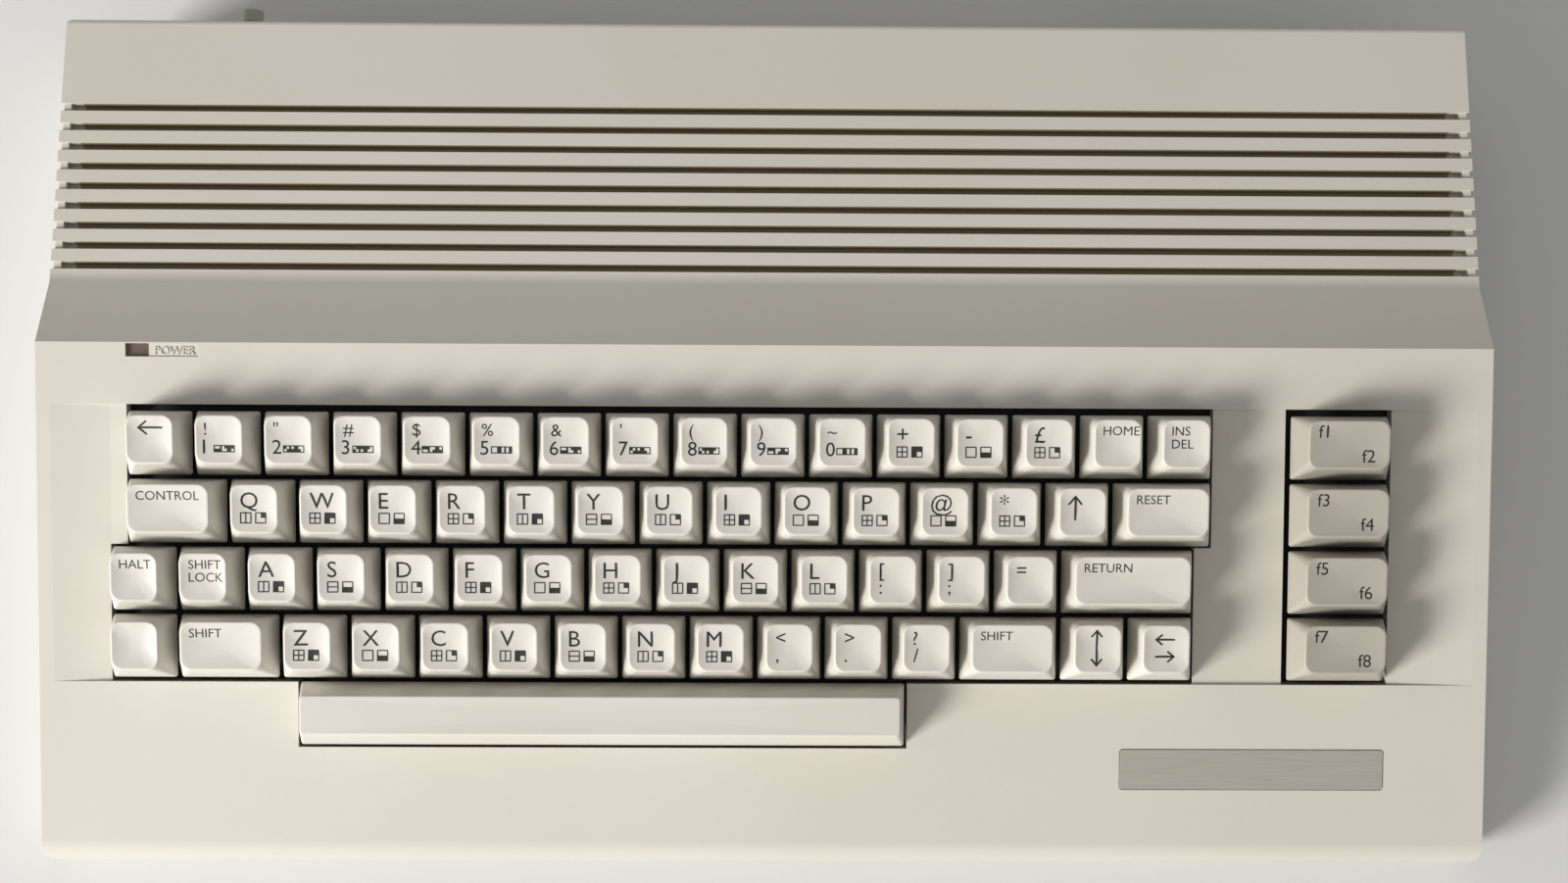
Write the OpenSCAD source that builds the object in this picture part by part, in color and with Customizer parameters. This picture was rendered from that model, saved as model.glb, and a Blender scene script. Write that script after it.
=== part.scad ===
// A flat wedge-shaped home computer: two-part case, full keyboard, mainboard, sockets and switches.
// X runs to the user's right, Y to the rear, Z up. The origin is under the middle, on the desk.

/* [Case] */
// Width of the case over its side walls
case_w = 409; // [405:1:420]
// Depth of the case from the front nose to the rear wall
case_d = 241; // [240:1:248]
// Wall thickness of both case halves
wall = 2.5; // [2:0.1:3]
// Height of the case underside above the desk
underside_z = 2; // [1.5:0.1:3]
// Height of the seam between the two halves
seam_z = 13; // [12:0.5:14]
// Height of the flat grooved top
top_z = 43; // [42:0.5:45]
// Radius of the rolled front nose
nose_r = 7; // [6:0.5:8]
// Height of the nose's centre line
nose_z = 11; // [10:0.5:11.5]
// Slope of the deck and the keyboard, in degrees
deck_slope = 14; // [13:0.25:14.5]
// Distance from the front to the crest behind the keys
crest_y = 142.2; // [141:0.2:145]
// Distance from the front to the foot of the drop behind the crest
drop_y = 161.9; // [158:0.1:163]
// Plan radius of the front corners
front_corner_r = 3.5; // [2:0.5:4]
// Plan radius of the rear corners
rear_corner_r = 2; // [1:0.5:3]
// Width of the lip in the bottom half that centres the top half
seam_lip_t = 1.2; // [1:0.1:1.4]
// Height of that lip above the seam
seam_lip_h = 1.6; // [1:0.1:2]

/* [Top grooves] */
// Number of grooves across the top
groove_count = 9; // [7:1:9]
// Distance between grooves
groove_pitch = 5.9; // [5.5:0.1:5.9]
// Width of each groove
groove_w = 2.3; // [2:0.1:2.6]
// Depth of each groove
groove_depth = 4; // [3:0.25:4.5]
// Depth of the shallow part that runs over the side edges
groove_wrap_depth = 0.7; // [0.4:0.1:1]
// Length of the shallow part at each end
groove_wrap_l = 2.7; // [2:0.1:4]
// Distance from the front to the middle of the rear groove
groove_rear_y = 214; // [213.8:0.1:216]
// Height at which the shallow parts end on the side walls
groove_low_z = 34; // [31:1:40]
// Thickness of the material under each groove
groove_floor_t = 2; // [1.5:0.1:2.5]

/* [Keyboard] */
// Distance between the middles of neighbouring keys
key_pitch = 19.05; // [18.9:0.05:19.15]
// X of the left edge of the number row
key_x0 = -179.3; // [-180.5:0.1:-178.5]
// Distance along the deck from the nose's tangent line to the space bar row
key_y0 = 27.2; // [27:0.1:28]
// Gap between neighbouring key caps
key_gap = 1.25; // [1.1:0.05:1.5]
// Gap between the key cells and the deck's opening
opening_gap = 0.2; // [0.15:0.05:0.5]
// Further room of the opening behind the keys
opening_rear_room = 1.1; // [1:0.05:1.3]
// Further room of the opening in front of the keys and beside the function keys
opening_front_room = 0.5; // [0.3:0.05:0.55]
// How far a key travels
key_travel = 4; // [3.5:0.1:4]
// Height of the cap skirts above the deck plane (negative is below)
skirt_w = -0.1; // [-0.2:0.1:0.1]
// Height of a cap at its front rim
cap_front_h = 11.4; // [10.8:0.1:11.8]
// Height of a cap at its rear rim
cap_rear_h = 12.1; // [11.8:0.1:12.4]
// Inset of the cap's top at the left and right
cap_side_inset = 2.3; // [2.1:0.05:2.6]
// Inset of the cap's top at the front
cap_front_inset = 3.7; // [3.4:0.1:4]
// Inset of the cap's top at the rear
cap_rear_inset = 0.45; // [0.3:0.05:0.8]
// Wall thickness of a cap
cap_wall = 1.3; // [1.1:0.1:1.5]
// Thickness of a cap's top under the dish
cap_top_t = 2.2; // [2:0.1:2.4]
// Depth of the dish
dish_depth = 0.6; // [0.3:0.1:0.8]
// Radius of a key's plunger
stem_r = 3; // [2.7:0.1:3.1]
// Radial gap between plunger and guide
stem_clearance = 0.1; // [0.05:0.01:0.15]
// Wall thickness of the guides
guide_t = 1.2; // [1:0.1:1.3]
// How far the deck dips beside the keys
dip_depth = 0.9; // [0.6:0.1:1.2]

/* [Keyboard frame] */
// Gap between a pressed cap and the frame plate
press_clearance = 2.5; // [2.4:0.05:2.6]
// Thickness of the frame plate
frame_t = 2; // [1.8:0.1:2.2]
// Height of the guides above the plate
guide_up = 4; // [3.6:0.1:4.1]
// Distance from the frame plate down to the keyboard's circuit board
contact_drop = 3.9; // [3.8:0.1:4]
// Thickness of the keyboard's circuit board
board_t = 1.6; // [1.5:0.1:1.7]
// Width of the frame's rim behind the key cells
frame_rim = 5; // [4:0.5:6]
// Width of the frame's rim left and right of the key cells
frame_side_rim = 10; // [9.8:0.1:11]
// Radius of the space bar's stabiliser wire
wire_r = 0.6; // [0.5:0.05:0.7]
// Distance between the middles of the space bar's two side plungers and its own middle
bar_guide_x = 57.15; // [54:0.5:60]

/* [Mainboard] */
// Width of the mainboard
board_w = 336; // [330:1:338]
// Depth of the mainboard
board_d = 131; // [128:1:132]
// Height of the mainboard's underside above the case floor
board_lift = 5; // [4.5:0.25:5.5]

/* [Sockets and switch] */
// Length of the recess in the right side wall
side_bay_l = 124; // [120:1:126]
// Distance from the rear wall to that recess
side_bay_rear = 10; // [9:1:12]
// Depth of that recess
side_bay_depth = 4; // [3.5:0.1:5]
// Radius of the round sockets
din_r = 7.5; // [7:0.1:7.8]
// Swing of the power rocker, in degrees
rocker_swing = 16; // [12:1:16]
// Distance from the left side wall to the rear push button
button_in = 50; // [46:1:56]
// Reach of the rear push button beyond the rear wall
button_reach = 9; // [8.5:0.1:10]
// Radius of the rear push button's cap
button_r = 3; // [2.5:0.05:3.1]
// Travel of the rear push button
button_travel = 2; // [1:0.1:2.5]

/* [Small parts] */
// Length of the badge plate
badge_l = 74.9; // [70:0.1:76]
// Height of the badge plate
badge_h = 11.4; // [10:0.1:12]
// Thickness of the badge plate
badge_t = 1; // [0.8:0.1:1.2]
// Distance from the side walls to the feet's middles
foot_in = 32; // [28:1:40]
// Distance from the front to the front feet's middles
foot_front = 24; // [22:1:28]
// Distance from the rear wall to the rear feet's middles
foot_rear = 22; // [18:1:28]
// Radius of the rubber feet
foot_r = 6; // [5:0.5:7]
// Depth of the pockets that the feet are glued into
foot_pocket = 1; // [0.8:0.1:1.2]
// Distance from the side walls to the outer case screws
screw_in = 54; // [50:1:60]
// Distance from the front to the case screws
screw_front = 19; // [18:0.5:20]
// Radius of the screws' threads
screw_r = 1.5; // [1.25:0.05:1.6]
// Radius of the screws' heads
screw_head_r = 2.9; // [2.6:0.1:3.1]
// Radial gap between a fixed part and its pocket or hole
fit_gap = 0.05; // [0.03:0.01:0.1]

/* [Hidden] */
$fn = 32;
far = 500;
over = 1;
eps = 0.01;

function cell(row, u, w) = [row, u, w];

// rows of letter keys: row number, left edge in key units, letters
letter_rows = [[2, 1.5, "qwertyuiop"], [3, 1.75, "asdfghjkl"], [4, 2.25, "zxcvbnm"]];
// single keys that are not letters: node, row, left edge, width
named_keys = [
    ["key_control", 2, 0, 1.5], ["key_shift_lock", 3, 0.75, 1], ["key_return", 3, 13.75, 2],
    ["key_shift_left", 4, 0.75, 1.5], ["key_shift_right", 4, 12.25, 1.5],
    ["key_f1", 1, 17.125, 1.5], ["key_f3", 2, 17.125, 1.5],
    ["key_f5", 3, 17.125, 1.5], ["key_f7", 4, 17.125, 1.5]
];
letter_keys = [for (r = letter_rows) for (i = [0:len(r[2]) - 1]) [str("key_", r[2][i]), r[0], r[1] + i, 1]];
single_keys = concat(letter_keys, named_keys);
// keys that share one node: row, left edge, width
number_bank = [for (i = [0:15]) cell(1, i, 1)];
symbol_bank = [
    cell(2, 11.5, 1), cell(2, 12.5, 1), cell(2, 13.5, 1), cell(2, 14.5, 1.5),
    cell(3, -0.25, 1), cell(3, 10.75, 1), cell(3, 11.75, 1), cell(3, 12.75, 1),
    cell(4, -0.25, 1), cell(4, 9.25, 1), cell(4, 10.25, 1), cell(4, 11.25, 1),
    cell(4, 13.75, 1), cell(4, 14.75, 1)
];
space_cell = cell(5, 2.5, 9);
all_cells = concat([for (k = single_keys) cell(k[1], k[2], k[3])], number_bank, symbol_bank, [space_cell]);

// colours
cream = [0.85, 0.83, 0.77];
key_white = [0.9, 0.89, 0.85];
key_grey = [0.66, 0.65, 0.6];
black = [0.06, 0.06, 0.06];
board_green = [0.1, 0.3, 0.18];
steel = [0.7, 0.71, 0.72];

// case outline in the side view
total_d = case_d + button_reach;
half_w = case_w / 2;
floor_z = underside_z + wall;
slope_tan = tan(deck_slope);
lip_y = nose_r * (1 - sin(deck_slope));
lip_z = nose_z + nose_r * cos(deck_slope);
function deck_z(y) = lip_z + (y - lip_y) * slope_tan;
function deck_dist(y) = (y - lip_y) / cos(deck_slope);
function deck_point(d, w) = [
    lip_y + d * cos(deck_slope) - w * sin(deck_slope), lip_z + d * sin(deck_slope) + w * cos(deck_slope)
];
crest_z = deck_z(crest_y);
nose_from = 200;
nose_to = 90 + deck_slope;
nose_steps = 12;
nose_arc = [for (i = [0:nose_steps]) let (a = nose_from + (nose_to - nose_from) * i / nose_steps)
    [nose_r + nose_r * cos(a), nose_z + nose_r * sin(a)]];
undercut_y = 4;
rear_edge_r = 1.5;
rear_edge = [for (a = [90:-30:0])
    [case_d - rear_edge_r + rear_edge_r * cos(a), top_z - rear_edge_r + rear_edge_r * sin(a)]];
// the side view's outline, with the rear edges rounded or square
function side_outline(rounded) = concat(
    [[undercut_y, underside_z]], nose_arc, [[crest_y, crest_z], [drop_y, top_z]],
    rounded ? rear_edge : [[case_d, top_z]],
    rounded ? [[case_d, underside_z + rear_edge_r], [case_d - rear_edge_r, underside_z]]
            : [[case_d, underside_z]]
);

// a closed outline moved inwards by t
function unit(v) = v / norm(v);
function inward(a, b) = let (d = unit(b - a)) [d[1], -d[0]];
function inset_corner(a, b, c, t) =
    let (n1 = inward(a, b), n2 = inward(b, c)) b + t * (n1 + n2) / (1 + n1 * n2);
function inset(path, t) = [
    for (i = [0:len(path) - 1])
        inset_corner(path[(i + len(path) - 1) % len(path)], path[i], path[(i + 1) % len(path)], t)
];

// keyboard levels, measured square to the deck
plate_top = skirt_w - key_travel - press_clearance;
plate_bottom = plate_top - frame_t;
pcb_top = plate_bottom - contact_drop;
pcb_bottom = pcb_top - board_t;
stem_rest = 0.2;
stem_tip = pcb_top + key_travel + stem_rest;
guide_top = plate_top + guide_up;
guide_r = stem_r + stem_clearance + guide_t;
guide_foot = 1;
guide_bottom = pcb_top + guide_foot;
cap_depth = key_pitch - key_gap;
dish_facets = 64;
ceiling_w = skirt_w + cap_front_h - cap_top_t;
spring_turns = 5;
spring_gap = 0.3;
spring_wire = 0.5;
spring_bore = stem_r + spring_gap;
spring_r = spring_bore + spring_wire;
spring_waist_r = spring_bore + spring_wire / 2;
function cell_x(c) = key_x0 + (c[1] + c[2] / 2) * key_pitch;
function cell_y(c) = key_y0 + (5 - c[0] + 0.5) * key_pitch;
function cap_w(c) = c[2] * key_pitch - key_gap;
keys_front = key_y0 + key_pitch;
keys_rear = key_y0 + 5 * key_pitch;
main_left = key_x0 - 0.25 * key_pitch;
main_right = key_x0 + 16 * key_pitch;
f_left = key_x0 + 17.125 * key_pitch;
f_right = f_left + 1.5 * key_pitch;
collar_t = 1.6;
dip_margin = 4;
collar_rise = 0.8;
collar_low = plate_top + collar_rise;
frame_left = main_left - frame_side_rim;
frame_right = f_right + frame_side_rim;
frame_front = key_y0 - frame_rim / 2;
frame_rear = keys_rear + frame_rim;
bracket_w = 9;
tray_gap = 1;
tray_left = frame_left + bracket_w + tray_gap;
tray_right = frame_right - bracket_w - tray_gap;
tray_t = 2;

// stabiliser of the space bar
wire_arm = 10;
wire_swing = asin(key_travel / wire_arm);
wire_in = 14.95;
wire_y = key_y0 + wire_in;
wire_w = -3.8;
wire_beside = 0.9;
wire_half = bar_guide_x + guide_r + wire_r + wire_beside;
wire_hook = 4;
wire_post_x = 45;
wire_post_l = 3;
wire_post_t = wire_r + 0.5;
clip_t = 0.8;
hook_gap = 0.1;
bar_x = cell_x(space_cell);
bar_rear_inset = 2;
bar_front_inset = 4.8;
bar_side_inset = 1.7;

// mainboard and ports
board_bottom = floor_z + board_lift;
board_top = board_bottom + board_t;
board_gap = 1;
side_bay_low = 7;
side_bay_high = 27;
side_bay_y = case_d - side_bay_rear - side_bay_l;
side_panel_x = half_w - side_bay_depth;
board_right = side_panel_x - wall - board_gap;
board_left = board_right - board_w;
board_rear = case_d - wall - board_gap / 2;
board_front = board_rear - board_d;
side_axis_rise = 6.6;
side_axis_z = board_top + side_axis_rise;
power_z = board_top + din_r + 2 * fit_gap;
// the two control ports, the switch and the power socket are spread over the recess
side_port_from = side_bay_y + 18;
side_port_run = side_bay_l - 32;
side_port_shares = [0, 36, 67, 92] / 92;
port_1_y = side_port_from;
port_2_y = side_port_from + side_port_shares[1] * side_port_run;
switch_y = side_port_from + side_port_shares[2] * side_port_run;
power_y = side_port_from + side_port_run;
port_gap = 0.6;
port_hole = [22.8, 10.4];
port_flange_l = 30.8;
port_flange_h = 12.5;
port_shell_l = 17;
port_shell_h = 8.4;
port_shell_reach = 5.5;
port_shell_t = 0.6;
port_block_l = 10;
pin_r = 0.5;
pin_pitch = 2.77;
port_pins = concat([for (i = [-2:2]) [i * pin_pitch, 1.4]], [for (i = [-1.5:1.5]) [i * pin_pitch, -1.4]]);
edge_ports = [[board_left + 31.5, 62], [board_left + 87.5, 34]];
edge_side = 4;
edge_sink = 1.5;
edge_port_low = floor_z + 0.6;
edge_port_high = board_top + 6.5;
serial_x = board_left + 131.5;
av_x = board_left + 159.5;
din_z = board_top + 9;
din_deep = 12;
din_bore = 8;
din_core = 2.5;
din_t = 0.7;
din_sink = 0.8;
din_pin_ring = 4.2;
din_pin_r = 0.6;
rf_x = board_left + 205.5;
rf_box = [56, 46, 22];
rf_jack_x = rf_x - 16;
rf_jack_z = board_top + 13;
rf_jack_r = 4.2;
rf_jack_bore = 1.6;
rf_jack_reach = 4;
cart_x = board_right - 63.5;
cart_l = 64;
cart_h = 17;
cart_socket = [58, 12, 11];
cart_slot = [8, 2];
cart_z = board_top + 7.5;
button_x = button_in - half_w;
button_z = 26;
button_neck_r = 1.6;
button_cap_l = 3.6;
button_hold = 4;
button_spare = 2;
bushing_r = 3.2;
bushing_reach = 2.6;
button_box = [9, 11, 9];

// slots in the floor, and the seam lip's extent
vent_x = [for (i = [0:2]) board_left + 39.5 + i * 70];
vent_y = board_front + 16;
vent_l = 34;
vent_w = 3;
vent_count = 8;
lip_root_h = 3;
lip_start_y = 30;

// power rocker
switch_hole = [18.8, 10];
switch_wall = 1.5;
switch_out = switch_hole + 2 * [switch_wall, switch_wall];
switch_deep = 14;
bezel_lip = 1.2;
bezel_t = 1.4;
rocker_r = 8.9;
rocker_h = 9.4;
rocker_face = 3.2;
rocker_pin_r = 1;
rocker_axis_x = side_panel_x - 0.6;

// feet, screws, light and badge
feet = [for (m = [-1, 1]) for (y = [foot_front, case_d - foot_rear]) [m * (half_w - foot_in), y]];
case_screws = [for (m = [-1:1]) [m * (half_w - screw_in), screw_front]];
boss_r = 3.6;
screw_head_h = 2.2;
screw_bite = 3;
head_gap = 0.3;
slot_l = 3.6;
slot_w = 0.8;
slot_deep = 1.2;
board_screws = [
    [board_left + 6, board_front + 8], [board_left + 6, board_rear - 40],
    [board_left + 79.5, board_front + 66], [board_left + 179.5, board_front + 66],
    [board_right - 70, board_front + 8], [board_right - 50, board_rear - 45]
];
bracket_t = 1.5;
bracket_y = [46, 86];
bracket_end = 6;
bracket_foot_z = floor_z + 2;
bracket_screw_x = [frame_left + bracket_w / 2, frame_right - bracket_w / 2];
frame_screws = [for (x = bracket_screw_x) for (y = bracket_y) [x, deck_dist(y)]];
bracket_screws = [for (x = bracket_screw_x) for (y = [bracket_y[0] + 12, bracket_y[1] - 12]) [x, y]];
led_x = key_x0 - 0.1;
led_l = 6.5;
led_h = 3.7;
led_edge = 0.35;
led_front = deck_dist(crest_y) - led_edge - led_h;
led_sink = 1;
lamp_flange = 1;
lamp_low = -wall - 5;
lamp_high = -wall - 2;
label_l = 13.8;
label_h = 3.4;
label_depth = 0.4;
badge_right = f_right;
badge_y = 20.4;
badge_pocket = 0.8;
badge_gap = 0.2;
badge_corner = 0.9;
chip_t = 4;
// chips: distance from the board's left and front edges, length, width
chips = [
    [31.5, 40, 52, 14], [95.5, 40, 52, 14], [159.5, 40, 52, 14], [31.5, 74, 52, 14], [95.5, 74, 36, 14],
    [139.5, 74, 34, 14], [243.5, 22, 36, 10], [279.5, 42, 24, 10], [205.5, 22, 24, 8],
    [99.5, 14, 24, 8], [131.5, 14, 24, 8], [163.5, 14, 24, 8], [59.5, 14, 20, 8]
];
// cans: distance from the same edges, radius, height
cans = [[299.5, 96, 6, 14], [283.5, 98, 5, 12], [315.5, 50, 4, 10], [23.5, 104, 4, 8], [217, 66, 4, 8]];
plug_l = 36;
plug_t = 6;
plug_x = board_left + 241.5;
plug_h = 9;
cable_t = 1;
cable_hold = 5;
cable_leave = 1;
cable_span = 12.6;
cable_from = deck_point(frame_rear + cable_leave, pcb_bottom);
plug_y = cable_from[0] + cable_span;
arch_rise = 4;

// ---------- frames of reference ----------
module in_case() { translate([0, -total_d / 2, 0]) children(); }
module on_deck() { in_case() translate([0, lip_y, lip_z]) rotate([deck_slope, 0, 0]) children(); }
module along_x(l) { rotate([90, 0, 90]) translate([0, 0, -l / 2]) linear_extrude(l) children(); }
module along_y(l) { rotate([90, 0, 0]) translate([0, 0, -l]) linear_extrude(l) children(); }
module box(x, y, z) { translate([x[0], y[0], z[0]]) cube([x[1] - x[0], y[1] - y[0], z[1] - z[0]]); }

// ---------- case ----------
// the closed outer form of the case, moved inwards by t
module case_block(t) {
    intersection() {
        along_x(case_w) polygon(inset(side_outline(t == 0), t));
        linear_extrude(far) plan(t);
    }
}

module plan(t) {
    w = half_w - t;
    f = max(front_corner_r - t, 0.5);
    r = max(rear_corner_r - t, 0.5);
    difference() {
        translate([-w, t]) square([2 * w, case_d - 2 * t]);
        for (m = [0, 1]) mirror([m, 0]) {
            corner_cut(w, t, f, 1);
            corner_cut(w, case_d - t, r, -1);
        }
    }
}

module corner_cut(x, y, r, side) {
    difference() {
        translate([x - r, min(y, y + side * r)]) square([r + 1, r]);
        translate([x - r, y + side * r]) circle(r);
    }
}

module shell() {
    difference() {
        case_block(0);
        difference() {
            case_block(wall);
            groove_bed();
            side_bay(wall);
        }
        side_bay(0);
    }
}

// recess in the right wall for the ports, grown by t
module side_bay(t) {
    box([side_panel_x - t, far], [side_bay_y - t, side_bay_y + side_bay_l + t],
        [side_bay_low - t, side_bay_high + t]);
}

module groove_bed() {
    margin = groove_w / 2 + wall;
    run = (groove_count - 1) * groove_pitch;
    box([-half_w, half_w], [groove_rear_y - run - margin, groove_rear_y + margin],
        [top_z - groove_depth - groove_floor_t, far]);
}

module grooves() {
    deep = half_w - groove_wrap_l;
    d = groove_wrap_depth;
    for (i = [0:groove_count - 1]) {
        y = groove_rear_y - i * groove_pitch;
        box([-deep, deep], [y - groove_w / 2, y + groove_w / 2], [top_z - groove_depth, far]);
        difference() {
            box([-far, far], [y - groove_w / 2, y + groove_w / 2], [groove_low_z, far]);
            box([d - half_w, half_w - d], [0, far], [0, top_z - d]);
        }
    }
}

// the key cells' outline, grown by g, as blocks square to the deck
module key_field(g, low, high) {
    rear = keys_rear + opening_rear_room + g;
    front = keys_front - opening_front_room - g;
    box([key_x0 - g, main_right + g], [keys_front + 2 * key_pitch, rear], [low, high]);
    box([main_left - g, main_right - 0.25 * key_pitch + g], [front, keys_rear - 2 * key_pitch + eps],
        [low, high]);
    box([bar_x - 4.5 * key_pitch - g, bar_x + 4.5 * key_pitch + g],
        [key_y0 - g, keys_front + eps], [low, high]);
    box([f_left - opening_front_room - g, f_right + opening_front_room + g], [front, rear],
        [low, high]);
}

// the deck beside the keys dips towards them
module deck_dips() {
    front = keys_front - opening_front_room - opening_gap;
    l = keys_rear + opening_rear_room + opening_gap - front;
    edge = half_w - dip_margin;
    translate([0, front, 0]) along_y(l) polygon([
        [-edge, 0], [main_left, -dip_depth], [f_right, -dip_depth], [edge, 0], [edge, over], [-edge, over]
    ]);
}

module rounded_plate(l, h, t, r) {
    linear_extrude(t) {
        translate([r, 0]) square([l - 2 * r, h]);
        translate([0, r]) square([l, h - 2 * r]);
        for (x = [r, l - r]) for (y = [r, h - r]) translate([x, y]) circle(r);
    }
}

module deck_pockets() {
    g = badge_gap;
    translate([badge_right - badge_l - g, deck_dist(badge_y) - g, -badge_pocket])
        rounded_plate(badge_l + 2 * g, badge_h + 2 * g, badge_pocket + over, badge_corner + g);
    box([led_x, led_x + led_l], [led_front, led_front + led_h], [-2 * wall, over]);
    box([led_x + led_l - eps, led_x + led_l + label_l], [led_front, led_front + label_h],
        [-label_depth, over]);
}

module rear_openings() {
    rear = [case_d - wall - over, case_d + over];
    for (p = edge_ports) box([p[0] - p[1] / 2, p[0] + p[1] / 2], rear, [edge_port_low, edge_port_high]);
    box([cart_x - cart_l / 2, cart_x + cart_l / 2], rear, [cart_z - cart_h / 2, cart_z + cart_h / 2]);
    for (x = [serial_x, av_x]) rear_hole(x, din_z, din_r + port_gap);
    rear_hole(rf_jack_x, rf_jack_z, rf_jack_r + 2 * port_gap);
    rear_hole(button_x, button_z, bushing_r + fit_gap);
}

module rear_hole(x, z, r) {
    translate([x, case_d + over, z]) rotate([90, 0, 0]) cylinder(r = r, h = wall + 2 * over);
}

module side_openings() {
    x = [side_panel_x - wall - over, side_panel_x + over];
    for (y = [port_1_y, port_2_y])
        box(x, [y - port_hole[0] / 2, y + port_hole[0] / 2],
            [side_axis_z - port_hole[1] / 2, side_axis_z + port_hole[1] / 2]);
    g = fit_gap;
    box(x, [switch_y - switch_out[0] / 2 - g, switch_y + switch_out[0] / 2 + g],
        [side_axis_z - switch_out[1] / 2 - g, side_axis_z + switch_out[1] / 2 + g]);
    translate([x[0], power_y, power_z]) rotate([0, 90, 0])
        cylinder(r = din_r + port_gap, h = wall + 2 * over);
}

module top_case() {
    color(cream) difference() {
        union() {
            in_case() intersection() {
                shell();
                box([-far, far], [-far, far], [seam_z, far]);
            }
            intersection() {
                in_case() case_block(wall / 2);
                on_deck() key_field(opening_gap + collar_t, collar_low, 0);
            }
            in_case() intersection() {
                case_block(wall / 2);
                for (s = case_screws) translate([s[0], s[1], seam_z]) cylinder(r = boss_r, h = far);
            }
        }
        on_deck() key_field(opening_gap, collar_low - over, over);
        on_deck() deck_dips();
        on_deck() deck_pockets();
        in_case() grooves();
        in_case() rear_openings();
        in_case() side_openings();
        in_case() for (s = case_screws) translate([s[0], s[1], seam_z - over])
            cylinder(r = screw_r + fit_gap, h = screw_bite + 2 * over);
    }
}

module bottom_case() {
    color(cream) in_case() difference() {
        union() {
            intersection() {
                shell();
                box([-far, far], [-far, far], [-far, seam_z]);
            }
            seam_lip();
            for (s = case_screws) floor_post(s, boss_r, seam_z);
            for (s = board_screws) floor_post(s, boss_r, board_bottom);
            for (s = bracket_screws) floor_post(s, boss_r, bracket_foot_z);
        }
        for (s = case_screws) translate([s[0], s[1], 0]) {
            cylinder(r = screw_r + head_gap, h = far);
            cylinder(r = screw_head_r + head_gap, h = floor_z + screw_head_h);
        }
        for (s = concat(board_screws, bracket_screws)) translate([s[0], s[1], floor_z])
            cylinder(r = screw_r + fit_gap, h = far);
        for (f = feet) translate([f[0], f[1], 0])
            cylinder(r = foot_r + fit_gap, h = underside_z + foot_pocket);
        rear_openings();
        side_openings();
        floor_vents();
    }
}

module floor_post(at, r, z) {
    translate([at[0], at[1], floor_z - eps]) cylinder(r = r, h = z - floor_z + eps);
}

// a lip inside the seam, standing up from the bottom half, clear of the sockets
module seam_lip() {
    difference() {
        intersection() {
            case_block(wall + fit_gap);
            box([-far, far], [-far, far], [seam_z - lip_root_h, seam_z + seam_lip_h]);
        }
        case_block(wall + fit_gap + seam_lip_t);
        box([-far, far], [case_d - 3 * wall, far], [-far, far]);
        box([half_w / 2, far], [side_bay_y - 2 * wall, far], [-far, far]);
        box([-far, far], [-far, lip_start_y], [-far, far]);
    }
    lip_root();
}

// ties the lip to the wall below the seam
module lip_root() {
    intersection() {
        case_block(wall / 2);
        difference() {
            box([-far, far], [lip_start_y, side_bay_y - 2 * wall], [seam_z - lip_root_h, seam_z]);
            case_block(wall + fit_gap + seam_lip_t);
        }
    }
}

module floor_vents() {
    for (x = vent_x) for (i = [0:vent_count - 1]) translate([x, vent_y + i * 2 * vent_w, 0])
        box([0, vent_l], [0, vent_w], [0, floor_z + over]);
}

module badge_plate() {
    color(key_grey) on_deck()
        translate([badge_right - badge_l, deck_dist(badge_y), -badge_pocket])
            rounded_plate(badge_l, badge_h, badge_t, badge_corner);
}

// lens in the deck's window, on the lamp's wider body
module power_led() {
    g = fit_gap;
    f = lamp_flange;
    color([0.45, 0.3, 0.25]) on_deck() {
        box([led_x + g, led_x + led_l - g], [led_front + g, led_front + led_h - g], [lamp_high, -led_sink]);
        box([led_x - f, led_x + led_l + f], [led_front - 2 * f, led_front + led_h], [lamp_low, lamp_high]);
    }
}

// ---------- keyboard ----------
// a block with a trapezium in both views: w and d at the bottom, insets at the top
module tapered(w, d, side, front, rear, front_h, rear_h) {
    high = max(front_h, rear_h);
    intersection() {
        translate([0, -d / 2, 0]) along_y(d)
            polygon([[-w / 2, 0], [w / 2, 0], [w / 2 - side, high], [-w / 2 + side, high]]);
        along_x(w) polygon([[-d / 2, 0], [d / 2, 0], [d / 2 - rear, rear_h], [-d / 2 + front, front_h]]);
    }
}

module hollow_cap(w, side, front, rear, front_h, rear_h) {
    h = front_h - cap_top_t;
    k = h / front_h;
    difference() {
        tapered(w, cap_depth, side, front, rear, front_h, rear_h);
        translate([0, 0, -eps])
            tapered(w - 2 * cap_wall, cap_depth - 2 * cap_wall, k * side, k * front, k * rear, h, h);
    }
}

// spherical dish in a square cap, a trough in a wide one
module dish(w) {
    chord = cap_depth - cap_front_inset - cap_rear_inset;
    r = (pow(chord / 2, 2) + pow(dish_depth, 2)) / (2 * dish_depth);
    tilt = atan((cap_rear_h - cap_front_h) / chord);
    run = w - 2 * cap_side_inset - chord;
    translate([0, (cap_front_inset - cap_rear_inset) / 2, (cap_front_h + cap_rear_h) / 2])
        rotate([tilt, 0, 0]) translate([0, 0, r - dish_depth]) {
            if (run < 1) sphere(r, $fn = dish_facets);
            else rotate([0, 90, 0]) cylinder(r = r, h = run + chord - 1, center = true, $fn = dish_facets);
        }
}

module stem(x = 0) {
    translate([x, 0, stem_tip - skirt_w]) cylinder(r = stem_r, h = ceiling_w - stem_tip + eps);
}

module key(c) {
    on_deck() translate([cell_x(c), cell_y(c), skirt_w]) {
        difference() {
            hollow_cap(cap_w(c), cap_side_inset, cap_front_inset, cap_rear_inset, cap_front_h, cap_rear_h);
            dish(cap_w(c));
        }
        stem();
    }
}

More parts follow.
